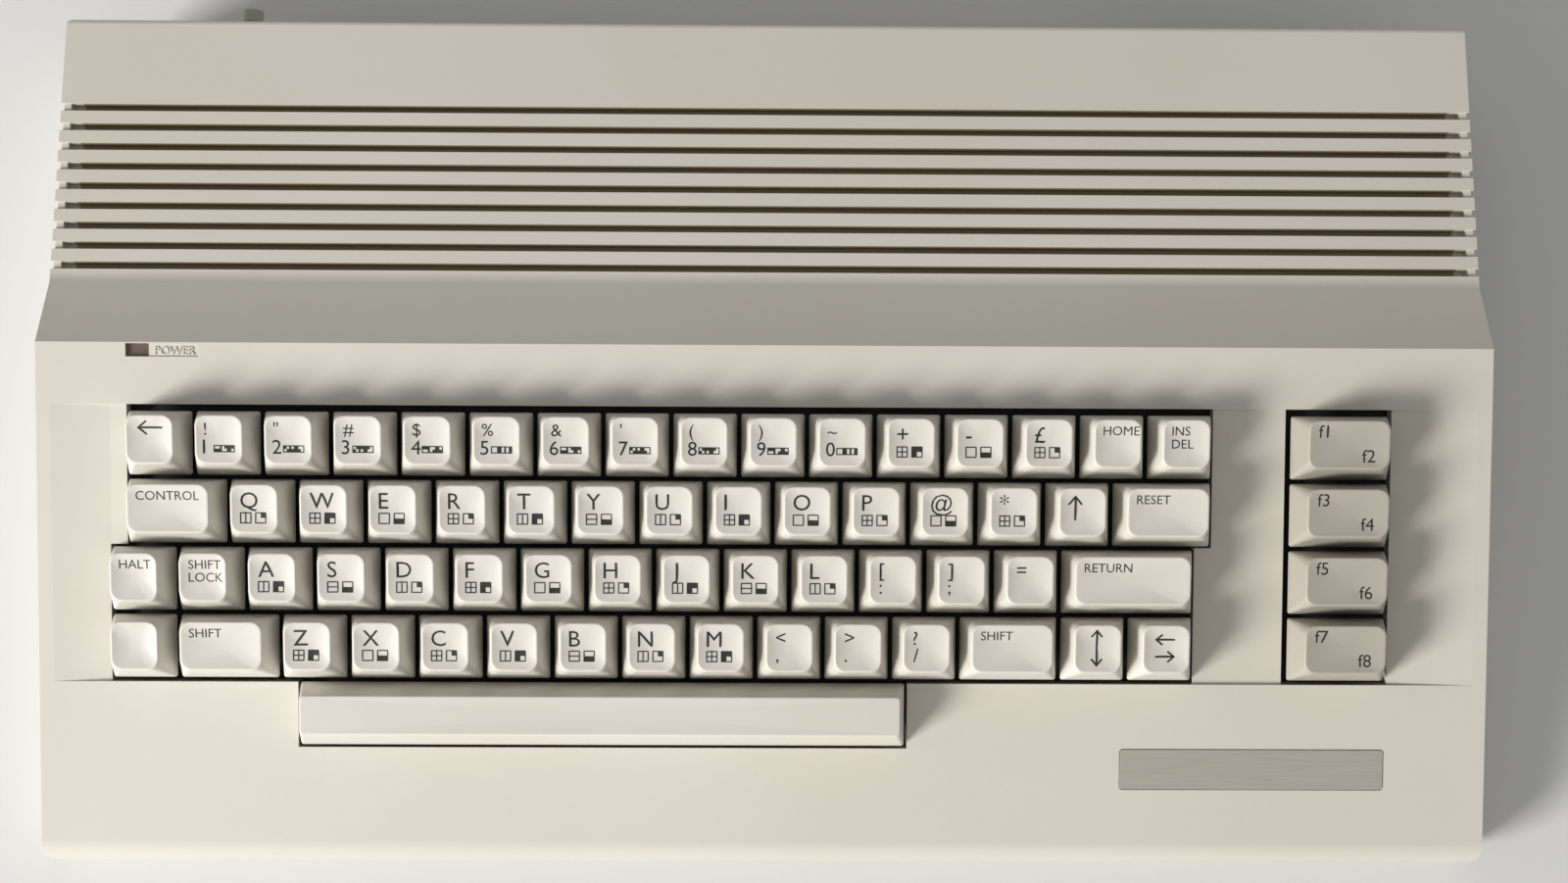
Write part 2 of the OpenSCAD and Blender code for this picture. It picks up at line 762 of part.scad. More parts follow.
module key_space() {
    color(key_white) on_deck() translate([bar_x, cell_y(space_cell), skirt_w]) {
        hollow_cap(cap_w(space_cell), bar_side_inset, bar_front_inset, bar_rear_inset,
            cap_front_h, cap_front_h);
        for (x = [-bar_guide_x, 0, bar_guide_x]) stem(x);
        for (m = [0, 1]) mirror([m, 0, 0]) wire_clip();
    }
}

// the block under the bar that the wire's hook slides in
module wire_clip() {
    tip_w = wire_w + wire_arm * sin(wire_swing) - skirt_w;
    rest_y = wire_y - wire_arm * cos(wire_swing) - cell_y(space_cell);
    down_y = wire_y - wire_arm - cell_y(space_cell);
    slot = wire_r + hook_gap;
    difference() {
        intersection() {
            box([wire_half + slot + 0.2, wire_half + wire_hook],
                [down_y - slot - clip_t, rest_y + slot + clip_t],
                [tip_w - slot - clip_t, cap_front_h - cap_top_t + eps]);
            tapered(cap_w(space_cell) - cap_wall, cap_depth - cap_wall, bar_side_inset, bar_front_inset,
                bar_rear_inset, cap_front_h, cap_front_h);
        }
        box([0, far], [down_y - slot, rest_y + slot], [tip_w - slot, tip_w + slot]);
    }
}

module space_bar_wire() {
    color(steel) on_deck() translate([bar_x, wire_y, wire_w]) {
        rotate([0, 90, 0]) cylinder(r = wire_r, h = 2 * wire_half, center = true);
        for (m = [0, 1]) mirror([m, 0, 0]) translate([wire_half, 0, 0]) rotate([90 - wire_swing, 0, 0]) {
            sphere(wire_r);
            cylinder(r = wire_r, h = wire_arm);
            translate([0, 0, wire_arm]) {
                sphere(wire_r);
                rotate([0, 90, 0]) cylinder(r = wire_r, h = wire_hook);
            }
        }
    }
}

module guide_post(c, dx = 0) {
    translate([cell_x(c) + dx, cell_y(c), guide_bottom]) cylinder(r = guide_r, h = guide_top - guide_bottom);
}

module guide_bore(c, dx = 0) {
    translate([cell_x(c) + dx, cell_y(c), pcb_top - over]) cylinder(r = stem_r + stem_clearance, h = far);
}

module keyboard_frame() {
    color(black) on_deck() difference() {
        union() {
            box([frame_left, frame_right], [frame_front, frame_rear], [plate_bottom, plate_top]);
            frame_tray();
            for (c = all_cells) guide_post(c);
            for (x = [-bar_guide_x, bar_guide_x]) guide_post(space_cell, x);
            for (x = [-wire_post_x, wire_post_x]) wire_post(bar_x + x);
        }
        for (c = all_cells) guide_bore(c);
        for (x = [-bar_guide_x, bar_guide_x]) guide_bore(space_cell, x);
        translate([bar_x, wire_y, wire_w]) rotate([0, 90, 0])
            cylinder(r = wire_r + fit_gap, h = 2 * wire_half, center = true);
        for (s = frame_screws) translate([s[0], s[1], plate_bottom - over])
            cylinder(r = screw_r + fit_gap, h = frame_t + 2 * over);
    }
}

// the wall under the frame plate that stands on the circuit board
module frame_tray() {
    difference() {
        box([tray_left, tray_right], [frame_front, frame_rear], [pcb_top, plate_bottom + eps]);
        box([tray_left + tray_t, tray_right - tray_t], [frame_front + tray_t, frame_rear - tray_t],
            [pcb_top - over, plate_bottom]);
    }
}

module wire_post(x) {
    box([x - wire_post_l / 2, x + wire_post_l / 2], [wire_y - 1.5 * wire_post_t, wire_y + wire_post_t],
        [plate_top - eps, wire_w + wire_post_t]);
}

module keyboard_pcb() {
    color([0.45, 0.36, 0.16]) on_deck()
        box([tray_left, tray_right], [frame_front, frame_rear], [pcb_bottom, pcb_top]);
}

// sheet steel supports under both ends of the keyboard
module keyboard_brackets() {
    color(steel) {
        bracket(frame_left, frame_left);
        bracket(frame_right - bracket_w, frame_right - bracket_t);
    }
}

module bracket(left, web_x) {
    y = [bracket_y[0] - bracket_end, bracket_y[1] + bracket_end];
    difference() {
        union() {
            on_deck() box([left, left + bracket_w], [deck_dist(y[0]), deck_dist(y[1])],
                [plate_bottom - bracket_t, plate_bottom]);
            in_case() box([left, left + bracket_w], y, [bracket_foot_z, bracket_foot_z + bracket_t]);
            intersection() {
                in_case() box([web_x, web_x + bracket_t], y, [bracket_foot_z, far]);
                on_deck() box([-far, far], [-far, far], [-far, plate_bottom]);
            }
        }
        on_deck() for (s = frame_screws) translate([s[0], s[1], plate_bottom - bracket_t - over])
            cylinder(r = screw_r + fit_gap, h = bracket_t + 2 * over);
        in_case() for (s = bracket_screws) translate([s[0], s[1], bracket_foot_z - over])
            cylinder(r = screw_r + fit_gap, h = bracket_t + 2 * over);
    }
}

// return springs round the plungers, one coil per waist
module key_springs() {
    low = guide_top;
    high = ceiling_w - hook_gap;
    pitch = (high - low) / spring_turns;
    wave = [for (i = [0:2 * spring_turns]) [i % 2 == 0 ? spring_waist_r : spring_r, low + i * pitch / 2]];
    color(steel) on_deck() {
        for (c = all_cells) translate([cell_x(c), cell_y(c), 0])
            rotate_extrude($fn = 24) polygon(concat([[spring_bore, low]], wave, [[spring_bore, high]]));
    }
}

// ribbon from the underside of the keyboard's circuit board, over an arch, to the plug on the mainboard
module keyboard_cable() {
    t = cable_t;
    reach = (cable_span - t / 2) / 2;
    mid = [plug_y - reach, cable_from[1]];
    outer = [for (a = [180:-15:0]) mid + [(reach + t / 2) * cos(a), (arch_rise + t / 2) * sin(a)]];
    inner = [for (a = [0:15:180]) mid + [(reach - t / 2) * cos(a), (arch_rise - t / 2) * sin(a)]];
    top = board_top + plug_h;
    color([0.5, 0.5, 0.52]) in_case() translate([plug_x, 0, 0]) along_x(plug_l - 6) polygon(concat(
        [deck_point(frame_rear - cable_hold, pcb_bottom), cable_from], outer,
        [[plug_y + t / 2, top], [plug_y - t / 2, top]], inner,
        [deck_point(frame_rear + cable_leave + t, pcb_bottom - t),
         deck_point(frame_rear - cable_hold, pcb_bottom - t)]
    ));
}

// ---------- mainboard ----------
module mainboard() {
    color(board_green) in_case() difference() {
        union() {
            box([board_left, board_right], [board_front, board_rear - 2], [board_bottom, board_top]);
            for (p = edge_ports)
                box([p[0] - p[1] / 2 + edge_side, p[0] + p[1] / 2 - edge_side],
                    [board_rear - 8, case_d - edge_sink], [board_bottom, board_top]);
        }
        for (s = board_screws) translate([s[0], s[1], board_bottom - over])
            cylinder(r = screw_r + fit_gap, h = board_t + 2 * over);
    }
}

// chips, cans and the ribbon's plug, standing on the mainboard
module circuit_chips() {
    color([0.1, 0.1, 0.11]) in_case() {
        translate([board_left, board_front, board_top]) {
            for (c = chips) translate([c[0], c[1], 0]) cube([c[2], c[3], chip_t]);
            for (c = cans) translate([c[0], c[1], 0]) cylinder(r = c[2], h = c[3]);
        }
        box([plug_x - plug_l / 2, plug_x + plug_l / 2], [plug_y - plug_t / 2, plug_y + plug_t / 2],
            [board_top, board_top + plug_h]);
    }
}

module rf_modulator() {
    rear = case_d - wall - 1;
    color(steel) in_case() {
        box([rf_x - rf_box[0] / 2, rf_x + rf_box[0] / 2], [rear - rf_box[1], rear],
            [board_top, board_top + rf_box[2]]);
        translate([rf_jack_x, case_d + rf_jack_reach, rf_jack_z]) rotate([90, 0, 0]) difference() {
            cylinder(r = rf_jack_r, h = rf_jack_reach + wall + 1.5);
            translate([0, 0, -over]) cylinder(r = rf_jack_bore, h = rf_jack_reach + wall + over);
        }
    }
}

module cartridge_socket() {
    rear = case_d - wall - 0.8;
    half = cart_socket[0] / 2;
    z = [cart_z - cart_socket[2] / 2, cart_z + cart_socket[2] / 2];
    color(black) in_case() difference() {
        union() {
            box([cart_x - half, cart_x + half], [rear - cart_socket[1], rear], z);
            box([cart_x - half + 2, cart_x + half - 2], [rear - cart_socket[1], rear - 4],
                [board_top, z[1]]);
        }
        box([cart_x - half + 3, cart_x + half - 3], [rear - cart_slot[0], rear + over],
            [cart_z - cart_slot[1] / 2, cart_z + cart_slot[1] / 2]);
    }
}

// a round multi-pin socket seen along +Z: a can on a block, with pins round an arc of the given spread
module din_socket(pins, spread, block_h) {
    half = din_r + 1;
    color(steel) difference() {
        translate([0, 0, -din_deep]) cylinder(r = din_r, h = din_deep);
        translate([0, 0, -din_bore]) cylinder(r = din_r - din_t, h = din_bore + over);
    }
    color(black) {
        translate([0, 0, -din_bore - eps]) cylinder(r = din_r - din_t + eps, h = din_core);
        translate([-half, -block_h, -din_deep - 4]) cube([2 * half, block_h + half, din_deep - 1]);
    }
    for (i = [0:pins - 1]) {
        a = -90 + spread * (i / (pins - 1) - 0.5);
        color(steel) translate([din_pin_ring * cos(a), -din_pin_ring * sin(a), -din_bore + 1])
            cylinder(r = din_pin_r, h = din_bore - 2);
    }
}

module din_sockets() {
    in_case() {
        for (s = [[serial_x, 6, 240], [av_x, 8, 270]]) translate([s[0], case_d - din_sink, din_z])
            rotate([90, 0, 180]) din_socket(s[1], s[2], din_z - board_top);
        translate([side_panel_x - din_sink, power_y, power_z]) rotate([90, 0, 90])
            din_socket(7, 270, power_z - board_top);
    }
}

module control_ports() {
    half = [port_flange_l / 2, port_flange_h / 2];
    in_case() for (y = [port_1_y, port_2_y]) translate([side_panel_x - wall - 0.2, y, side_axis_z]) {
        color(steel) box([-1, 0], [-half[0], half[0]], [-half[1], half[1]]);
        color(steel) difference() {
            port_shell(0, port_shell_reach);
            port_shell(port_shell_t, port_shell_reach + over);
        }
        color(black) port_shell(port_shell_t - 0.1, 0.8);
        color(black) box([-port_block_l, -1 + eps], [-half[0] + 3, half[0] - 3],
            [board_top - side_axis_z, half[1] - 1]);
        color(steel) for (p = port_pins) translate([0, p[0], p[1]]) rotate([0, 90, 0])
            cylinder(r = pin_r, h = port_shell_reach - 0.5);
    }
}

// the tapered metal shell round the nine pins, moved inwards by t
module port_shell(t, h) {
    l = port_shell_l / 2 - t;
    v = port_shell_h / 2 - t;
    translate([-eps, 0, 0]) rotate([90, 0, 90]) linear_extrude(h)
        polygon([[-l + 1.2, -v], [l - 1.2, -v], [l, v], [-l, v]]);
}

// ---------- switch and button ----------
module switch_body() {
    h = switch_hole;
    o = switch_out;
    color(black) in_case() translate([0, switch_y, side_axis_z]) difference() {
        union() {
            box([side_panel_x - switch_deep, side_panel_x], [-o[0] / 2, o[0] / 2], [-o[1] / 2, o[1] / 2]);
            box([side_panel_x, side_panel_x + bezel_t], [-o[0] / 2 - bezel_lip, o[0] / 2 + bezel_lip],
                [-o[1] / 2 - bezel_lip, o[1] / 2 + bezel_lip]);
        }
        box([side_panel_x - switch_deep + 2, side_panel_x + far],
            [-h[0] / 2, h[0] / 2], [-h[1] / 2, h[1] / 2]);
        translate([rocker_axis_x, 0, 0])
            cylinder(r = rocker_pin_r + fit_gap, h = o[1] + over, center = true);
    }
}

module switch_rocker() {
    face = rocker_face;
    reach = sqrt(rocker_r * rocker_r - face * face);
    color(cream) in_case() translate([rocker_axis_x, switch_y, side_axis_z])
        rotate([0, 0, -rocker_swing / 2]) {
            translate([0, 0, -rocker_h / 2]) linear_extrude(rocker_h) polygon([
                [-2.5, -reach + 2], [face, -reach], [face - 1.4, 0], [face, reach],
                [-2.5, reach - 2], [-5, 2], [-5, -2]
            ]);
            cylinder(r = rocker_pin_r, h = switch_out[1] - 1, center = true);
        }
}

module rear_button() {
    color(key_grey) in_case() translate([button_x, case_d + button_reach, button_z]) rotate([90, 0, 0]) {
        cylinder(r = button_r, h = button_cap_l);
        cylinder(r = button_neck_r, h = button_reach + wall + button_hold);
    }
}

module rear_button_body() {
    b = button_box;
    color(black) in_case() translate([button_x, case_d - wall, button_z]) difference() {
        union() {
            translate([0, wall + bushing_reach, 0]) rotate([90, 0, 0])
                cylinder(r = bushing_r, h = wall + bushing_reach + eps);
            box([-b[0] / 2, b[0] / 2], [-b[1], -eps], [-b[2] / 2, b[2] / 2]);
        }
        translate([0, wall + bushing_reach + over, 0]) rotate([90, 0, 0])
            cylinder(r = button_neck_r + fit_gap,
                h = over + bushing_reach + wall + button_hold + button_travel + button_spare);
    }
}

// ---------- fasteners and feet ----------
// a screw that points along -Z, its head resting on the plane z = 0
module screw(l) {
    difference() {
        cylinder(r = screw_head_r, h = screw_head_h);
        for (a = [0, 90]) rotate([0, 0, a])
            translate([-slot_l / 2, -slot_w / 2, screw_head_h - slot_deep])
                cube([slot_l, slot_w, slot_deep + over]);
    }
    translate([0, 0, -l]) cylinder(r = screw_r, h = l + eps);
}

module screws() {
    color(steel) {
        in_case() {
            for (s = case_screws) translate([s[0], s[1], floor_z + screw_head_h]) rotate([180, 0, 0])
                screw(seam_z + screw_bite - floor_z - screw_head_h);
            for (s = board_screws) translate([s[0], s[1], board_top]) screw(board_lift + board_t - 0.3);
            for (s = bracket_screws) translate([s[0], s[1], bracket_foot_z + bracket_t]) screw(screw_bite);
        }
        on_deck() for (s = frame_screws) translate([s[0], s[1], plate_top]) screw(frame_t + bracket_t);
    }
}

module rubber_feet() {
    color([0.2, 0.2, 0.2]) in_case() for (f = feet) translate([f[0], f[1], 0])
        cylinder(r = foot_r, h = underside_z + foot_pocket);
}

// ---------- drawing ----------
top_case();
bottom_case();
badge_plate();
power_led();
keyboard_frame();
keyboard_pcb();
keyboard_brackets();
space_bar_wire();
keyboard_cable();
key_springs();
mainboard();
circuit_chips();
rf_modulator();
cartridge_socket();
din_sockets();
control_ports();
switch_body();
switch_rocker();
rear_button();
rear_button_body();
screws();
rubber_feet();
key_space();
color(key_white) for (c = number_bank) key(c);  // number_row_keys
color(key_white) for (c = symbol_bank) key(c);  // symbol_keys
for (k = single_keys) {
    color(k[2] > 17 ? key_grey : key_white) key(cell(k[1], k[2], k[3]));
}
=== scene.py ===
# %% [markdown]
# # A home computer in one wedge-shaped case
#
# The solids of this machine come from its CAD model: a two-part case, a full keyboard on a sloping
# deck, a mainboard and its sockets. This lesson dresses them. Every length is written in
# millimetres and multiplied by MM, because Blender works in metres.

import math

import bmesh
import bpy
from mathutils import Matrix, Vector


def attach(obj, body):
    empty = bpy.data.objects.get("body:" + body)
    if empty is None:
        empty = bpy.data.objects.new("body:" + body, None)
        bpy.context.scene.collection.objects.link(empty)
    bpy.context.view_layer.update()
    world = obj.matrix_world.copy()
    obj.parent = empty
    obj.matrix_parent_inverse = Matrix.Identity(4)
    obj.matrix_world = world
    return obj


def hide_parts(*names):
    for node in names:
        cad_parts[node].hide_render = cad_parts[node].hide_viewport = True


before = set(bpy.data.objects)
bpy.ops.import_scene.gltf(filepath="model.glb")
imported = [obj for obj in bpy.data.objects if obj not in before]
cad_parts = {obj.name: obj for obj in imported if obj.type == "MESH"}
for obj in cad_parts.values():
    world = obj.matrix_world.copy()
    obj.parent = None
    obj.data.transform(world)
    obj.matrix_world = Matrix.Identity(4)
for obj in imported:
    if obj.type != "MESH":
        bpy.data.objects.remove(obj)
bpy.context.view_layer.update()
MM = 0.001

# %% [markdown]
# ## The sloping deck
#
# The keyboard is laid out on a deck that slopes up by 14 degrees. One matrix turns a point given
# as (sideways, up the deck, square to the deck) into the row frame, so that caps and legends can be
# drawn as if they lay flat.

# %% The deck's own frame of reference
TOTAL_DEPTH = 250.0
DECK_SLOPE = math.radians(14)
NOSE_R = 7.0
NOSE_Z = 11.0
lip_y = NOSE_R * (1 - math.sin(DECK_SLOPE)) - TOTAL_DEPTH / 2
lip_z = NOSE_Z + NOSE_R * math.cos(DECK_SLOPE)
deck = Matrix.Translation((0, lip_y, lip_z)) @ Matrix.Rotation(DECK_SLOPE, 4, "X")
print("deck starts at", round(lip_y, 2), round(lip_z, 2))

# %% The key grid
PITCH = 19.05
KEYS_X0 = -179.3
KEYS_Y0 = 27.2
KEY_GAP = 1.25
SKIRT_W = -0.1


def cell_middle(row, left, width):
    """Middle of a key's cell on the deck, from its row, its left edge and its width in key units."""
    return KEYS_X0 + (left + width / 2) * PITCH, KEYS_Y0 + (5 - row + 0.5) * PITCH


# %% [markdown]
# ## Finishes
#
# Moulded plastic is never one flat colour: it has a fine spark-eroded grain, faint clouds from the
# moulding and a little yellowing. Each finish below is a small graph of noise textures. To keep the
# maths readable, a number socket is wrapped in a class that understands +, - and *.


# %% Sockets that understand arithmetic
class Number:
    """A number socket in a material's graph."""

    def __init__(self, graph, socket):
        self.graph = graph
        self.socket = socket

    def _join(self, operation, a, b):
        return self.graph.number("ShaderNodeMath", {"operation": operation}, {0: a, 1: b})

    def __add__(self, other):
        return self._join("ADD", self, other)

    __radd__ = __add__

    def __sub__(self, other):
        return self._join("SUBTRACT", self, other)

    def __rsub__(self, other):
        return self._join("SUBTRACT", other, self)

    def __mul__(self, other):
        return self._join("MULTIPLY", self, other)

    __rmul__ = __mul__


class Graph:
    """A material's nodes, each made by one call."""

    def __init__(self, name):
        self.material = bpy.data.materials.new(name)
        self.material.use_nodes = True
        self.nodes = self.material.node_tree.nodes
        self.links = self.material.node_tree.links
        self.shader = self.nodes["Principled BSDF"]
        self.place = self.node("ShaderNodeTexCoord").outputs["Object"]

    def node(self, kind, settings=None, values=None):
        node = self.nodes.new(kind)
        for key, value in (settings or {}).items():
            setattr(node, key, value)
        for key, value in (values or {}).items():
            self.feed(node.inputs[key], value)
        return node

    def number(self, kind, settings=None, values=None):
        return Number(self, self.node(kind, settings, values).outputs[0])

    def feed(self, socket, value):
        if isinstance(value, Number):
            self.links.new(value.socket, socket)
        elif isinstance(value, bpy.types.NodeSocket):
            self.links.new(value, socket)
        else:
            socket.default_value = value

    def noise(self, scale, detail, place=None):
        values = {"Vector": place or self.place, "Scale": scale, "Detail": detail}
        return self.number("ShaderNodeTexNoise", None, values)

    def ramp(self, factor, low, high):
        """A number that goes from 0 at low to 1 at high."""
        settings = {"interpolation_type": "SMOOTHSTEP"}
        return self.number("ShaderNodeMapRange", settings, {0: factor, 1: low, 2: high})

    def blend(self, factor, first, second):
        node = self.node("ShaderNodeMix", {"data_type": "RGBA"})
        for key, value in (("Factor", factor), (6, first), (7, second)):
            self.feed(node.inputs[key], value)
        return node.outputs[2]

    def within(self, value, low, high):
        """1 where a number lies between low and high, and 0 elsewhere."""
        middle, reach = (low + high) / 2, (high - low) / 2
        return self.number("ShaderNodeMath", {"operation": "COMPARE"}, {0: value, 1: middle, 2: reach})

    def bump(self, height, strength, depth):
        values = {"Height": height, "Strength": strength, "Distance": depth}
        return self.node("ShaderNodeBump", None, values).outputs["Normal"]

    def set(self, **values):
        for key, value in values.items():
            self.feed(self.shader.inputs[key.replace("_", " ")], value)
        return self.material


def rgb(red, green, blue):
    """A colour given as it looks on a screen, turned into the linear one that shaders use."""
    line = [c / 255 / 12.92 if c < 10 else ((c / 255 + 0.055) / 1.055) ** 2.4 for c in (red, green, blue)]
    return (*line, 1.0)


# %% Moulded plastics
# painted shade for the grooves of the top: a dark brown mixed into the case's colour where the grooves are
# in shadow
GROOVE_SHADE_COLOUR = rgb(150, 136, 108)
GROOVE_BAND = (164.5 - TOTAL_DEPTH / 2, 216.5 - TOTAL_DEPTH / 2)
SHADE_TOP = 42.7
SHADE_FULL = 41.9
SHADE_FLOOR = 38.5
SHADE_FADE = 0.2
SHADE_REACH = 198.5


def painted_groove_shade(g):
    """Painted shade in the grooves of the top: below its surface, in the grooved band, short of its ends.
    """
    where = g.node("ShaderNodeSeparateXYZ", None, {"Vector": g.place}).outputs
    across, along, height = (Number(g, where[axis]) for axis in "XYZ")
    between_ends = g.within(across, -SHADE_REACH * MM, SHADE_REACH * MM)
    band = g.within(along, GROOVE_BAND[0] * MM, GROOVE_BAND[1] * MM)
    sunk = g.ramp(height, SHADE_TOP * MM, SHADE_FULL * MM)
    inside = g.ramp(height, SHADE_FLOOR * MM, (SHADE_FLOOR + SHADE_FADE) * MM)
    return band * sunk * inside * between_ends


def moulded_plastic(name, colour, aged, roughness, grain=0.35, groove_shaded=False):
    """Grained plastic: aged is the colour of its faint clouds, and the last switch mixes painted shade into
    the top's grooves.
    """
    g = Graph(name)
    clouds = g.ramp(g.noise(9, 3), 0.35, 0.7)
    speckle = g.ramp(g.noise(420, 2), 0.45, 0.75)
    tint = g.blend(clouds * 0.55 + speckle * 0.12, colour, aged)
    if groove_shaded:
        # painted shade: the grooves of the top are darkened in the colour itself
        tint = g.blend(painted_groove_shade(g), tint, GROOVE_SHADE_COLOUR)
    texture = g.noise(1500, 3) * 0.7 + g.noise(5200, 1) * 0.3
    return g.set(
        Base_Color=tint,
        Roughness=roughness + 0.1 * (g.noise(60, 3) - 0.5) + 0.05 * (texture - 0.5),
        Normal=g.bump(texture, grain, 0.05 * MM),
    )


# the case's plastic carries painted shade in the grooves of its top
case_plastic = moulded_plastic("case_plastic", rgb(209, 205, 195), rgb(203, 197, 183), 0.52, groove_shaded=True)
key_plastic = moulded_plastic("key_plastic", rgb(213, 209, 200), rgb(206, 201, 189), 0.42, 0.22)
grey_key_plastic = moulded_plastic("grey_key_plastic", rgb(176, 171, 160), rgb(168, 162, 149), 0.42, 0.22)
frame_plastic = moulded_plastic("frame_plastic", rgb(26, 25, 24), rgb(34, 32, 30), 0.6)
socket_plastic = moulded_plastic("socket_plastic", rgb(22, 22, 23), rgb(30, 30, 31), 0.45)
ribbon_plastic = moulded_plastic("ribbon_plastic", rgb(138, 139, 142), rgb(120, 121, 126), 0.5)
print("plastics made:", 6)


# %% Legend ink, lens, badge and rubber
def legend_ink():
    g = Graph("legend_ink")
    worn = g.ramp(g.noise(700, 3), 0.55, 0.8)
    return g.set(
        Base_Color=g.blend(worn * 0.5, rgb(34, 32, 31), rgb(58, 55, 52)),
        Roughness=0.5 + 0.15 * g.noise(300, 2),
    )


def lamp_lens():
    g = Graph("lamp_lens")
    depth = g.noise(220, 2)
    return g.set(
        Base_Color=g.blend(depth, rgb(92, 76, 66), rgb(110, 94, 82)),
        Roughness=0.22 + 0.1 * depth,
        Coat_Weight=0.4 + 0.2 * depth,
    )


def brushed_badge():
    """Painted sheet with fine strokes along its length."""
    g = Graph("brushed_badge")
    along = g.node("ShaderNodeMapping", None, {"Vector": g.place, "Scale": (0.03, 1, 1)}).outputs[0]
    strokes = g.noise(2600, 3, along)
    return g.set(
        Base_Color=g.blend(g.ramp(strokes, 0.3, 0.7), rgb(168, 161, 151), rgb(177, 170, 160)),
        Metallic=0.12 + 0.1 * strokes,
        Roughness=0.38 + 0.14 * strokes,
        Normal=g.bump(strokes, 0.12, 0.02 * MM),
    )


def foot_rubber():
    g = Graph("foot_rubber")
    dust = g.ramp(g.noise(160, 4), 0.45, 0.75)
    return g.set(
        Base_Color=g.blend(dust * 0.5, rgb(38, 37, 36), rgb(72, 69, 64)),
        Roughness=0.82 + 0.1 * dust,
        Normal=g.bump(g.noise(900, 3), 0.3, 0.05 * MM),
    )


ink = legend_ink()
lens = lamp_lens()
badge = brushed_badge()
rubber = foot_rubber()


# %% Metals and boards
def plated_steel(name, colour, roughness):
    g = Graph(name)
    stains = g.ramp(g.noise(120, 4), 0.4, 0.75)
    return g.set(
        Base_Color=g.blend(stains * 0.4, colour, rgb(150, 146, 138)),
        Metallic=0.95 - 0.1 * stains,
        Roughness=roughness + 0.18 * stains,
        Normal=g.bump(g.noise(2400, 2), 0.08, 0.02 * MM),
    )


def circuit_board(name, colour, track_colour):
    """Lacquer over copper tracks: the edges of a cell pattern stand for the tracks."""
    g = Graph(name)
    cells = g.number("ShaderNodeTexVoronoi", {"feature": "DISTANCE_TO_EDGE", "distance": "MANHATTAN"},
                     {"Vector": g.place, "Scale": 260.0})
    tracks = 1 - g.ramp(cells, 0.06, 0.1)
    return g.set(
        Base_Color=g.blend(tracks * 0.8, colour, track_colour),
        Roughness=0.3 + 0.12 * g.noise(90, 3),
        Coat_Weight=0.3 + 0.2 * tracks,
        Normal=g.bump(tracks, 0.2, 0.03 * MM),
    )


steel = plated_steel("zinc_steel", rgb(188, 190, 193), 0.3)
tinned = plated_steel("tinned_shell", rgb(205, 206, 208), 0.22)
gold = plated_steel("gold_contacts", rgb(214, 178, 102), 0.25)
main_board = circuit_board("main_board", rgb(38, 88, 58), rgb(62, 118, 74))
key_board = circuit_board("key_board", rgb(126, 98, 52), rgb(150, 122, 70))
chip_black = moulded_plastic("chip_black", rgb(30, 30, 32), rgb(40, 40, 42), 0.55)
print("materials:", len(bpy.data.materials))

# %% [markdown]
# ## Dressing the CAD nodes that keep their own mesh
#
# A node whose shape is already right keeps its mesh and only gets a finish. All its material slots
# are set, because a node can have several colours.

# %% Give the carried-over nodes their finish
node_finish = {
    "bottom_case": case_plastic, "power_led": lens, "keyboard_frame": frame_plastic,
    "keyboard_pcb": key_board, "keyboard_brackets": steel, "space_bar_wire": steel,
    "keyboard_cable": ribbon_plastic, "mainboard": main_board,
    "circuit_chips": chip_black, "rf_modulator": tinned, "cartridge_socket": socket_plastic,
    "switch_body": socket_plastic, "switch_rocker": socket_plastic, "rear_button": grey_key_plastic,
    "rear_button_body": socket_plastic, "screws": steel, "rubber_feet": rubber,
}


def give_finish(thing, finish):
    if not thing.data.materials:
        thing.data.materials.append(finish)
    for i in range(len(thing.data.materials)):
        thing.data.materials[i] = finish


for node_name, finish in node_finish.items():
    give_finish(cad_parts[node_name], finish)
print("finished nodes:", len(node_finish))


# %% [markdown]
# ## Making pieces
#
# Most pieces are drawn with bmesh, in millimetres and in a handy frame of their own. One helper
# moves such a mesh to its place, shrinks it to metres and hangs it on its CAD body.


# %% From a bmesh to a finished piece
ROUND_STEPS = 20
CORNER_STEPS = 5


def evaluated_mesh(thing):
    """The mesh of an object after its modifiers, which are then removed."""
    evaluated = thing.evaluated_get(bpy.context.evaluated_depsgraph_get())
    mesh = bpy.data.meshes.new_from_object(evaluated, preserve_all_data_layers=True,
                                           depsgraph=bpy.context.evaluated_depsgraph_get())
    thing.modifiers.clear()
    return mesh


def finish_piece(bm, name, place, body, materials, replaces=(), sharp_angle=38):
    """Makes an object of a bmesh drawn in millimetres; place is its matrix, in millimetres too."""
    bm.transform(Matrix.Scale(MM, 4) @ place)
    mesh = bpy.data.meshes.new(name)
    bm.to_mesh(mesh)
    bm.free()
    mesh.shade_smooth()
    mesh.set_sharp_from_angle(angle=math.radians(sharp_angle))
    for material in materials:
        mesh.materials.append(material)
    piece = bpy.data.objects.new(name, mesh)
    bpy.context.collection.objects.link(piece)
    piece.modifiers.new("flat faces stay flat", "WEIGHTED_NORMAL").keep_sharp = True
    piece.data = evaluated_mesh(piece)
    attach(piece, body)
    if replaces:
        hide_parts(*replaces)


def join_loops(bm, loops, close_first=False, close_last=False):
    """Skins a list of loops of points that all have the same length."""
    rings = [[bm.verts.new(p) for p in loop] for loop in loops]
    count = len(rings[0])
    for a, b in zip(rings, rings[1:]):
        for i in range(count):
            j = (i + 1) % count
            bm.faces.new((a[i], a[j], b[j], b[i]))
    if close_first:
        bm.faces.new(list(reversed(rings[0])))
    if close_last:
        bm.faces.new(rings[-1])
    return rings


def circle(x, y, radius, z):
    """Points round a circle at a height, anticlockwise."""
    angles = [2 * math.pi * i / ROUND_STEPS for i in range(ROUND_STEPS)]
    return [(x + radius * math.cos(a), y + radius * math.sin(a), z) for a in angles]


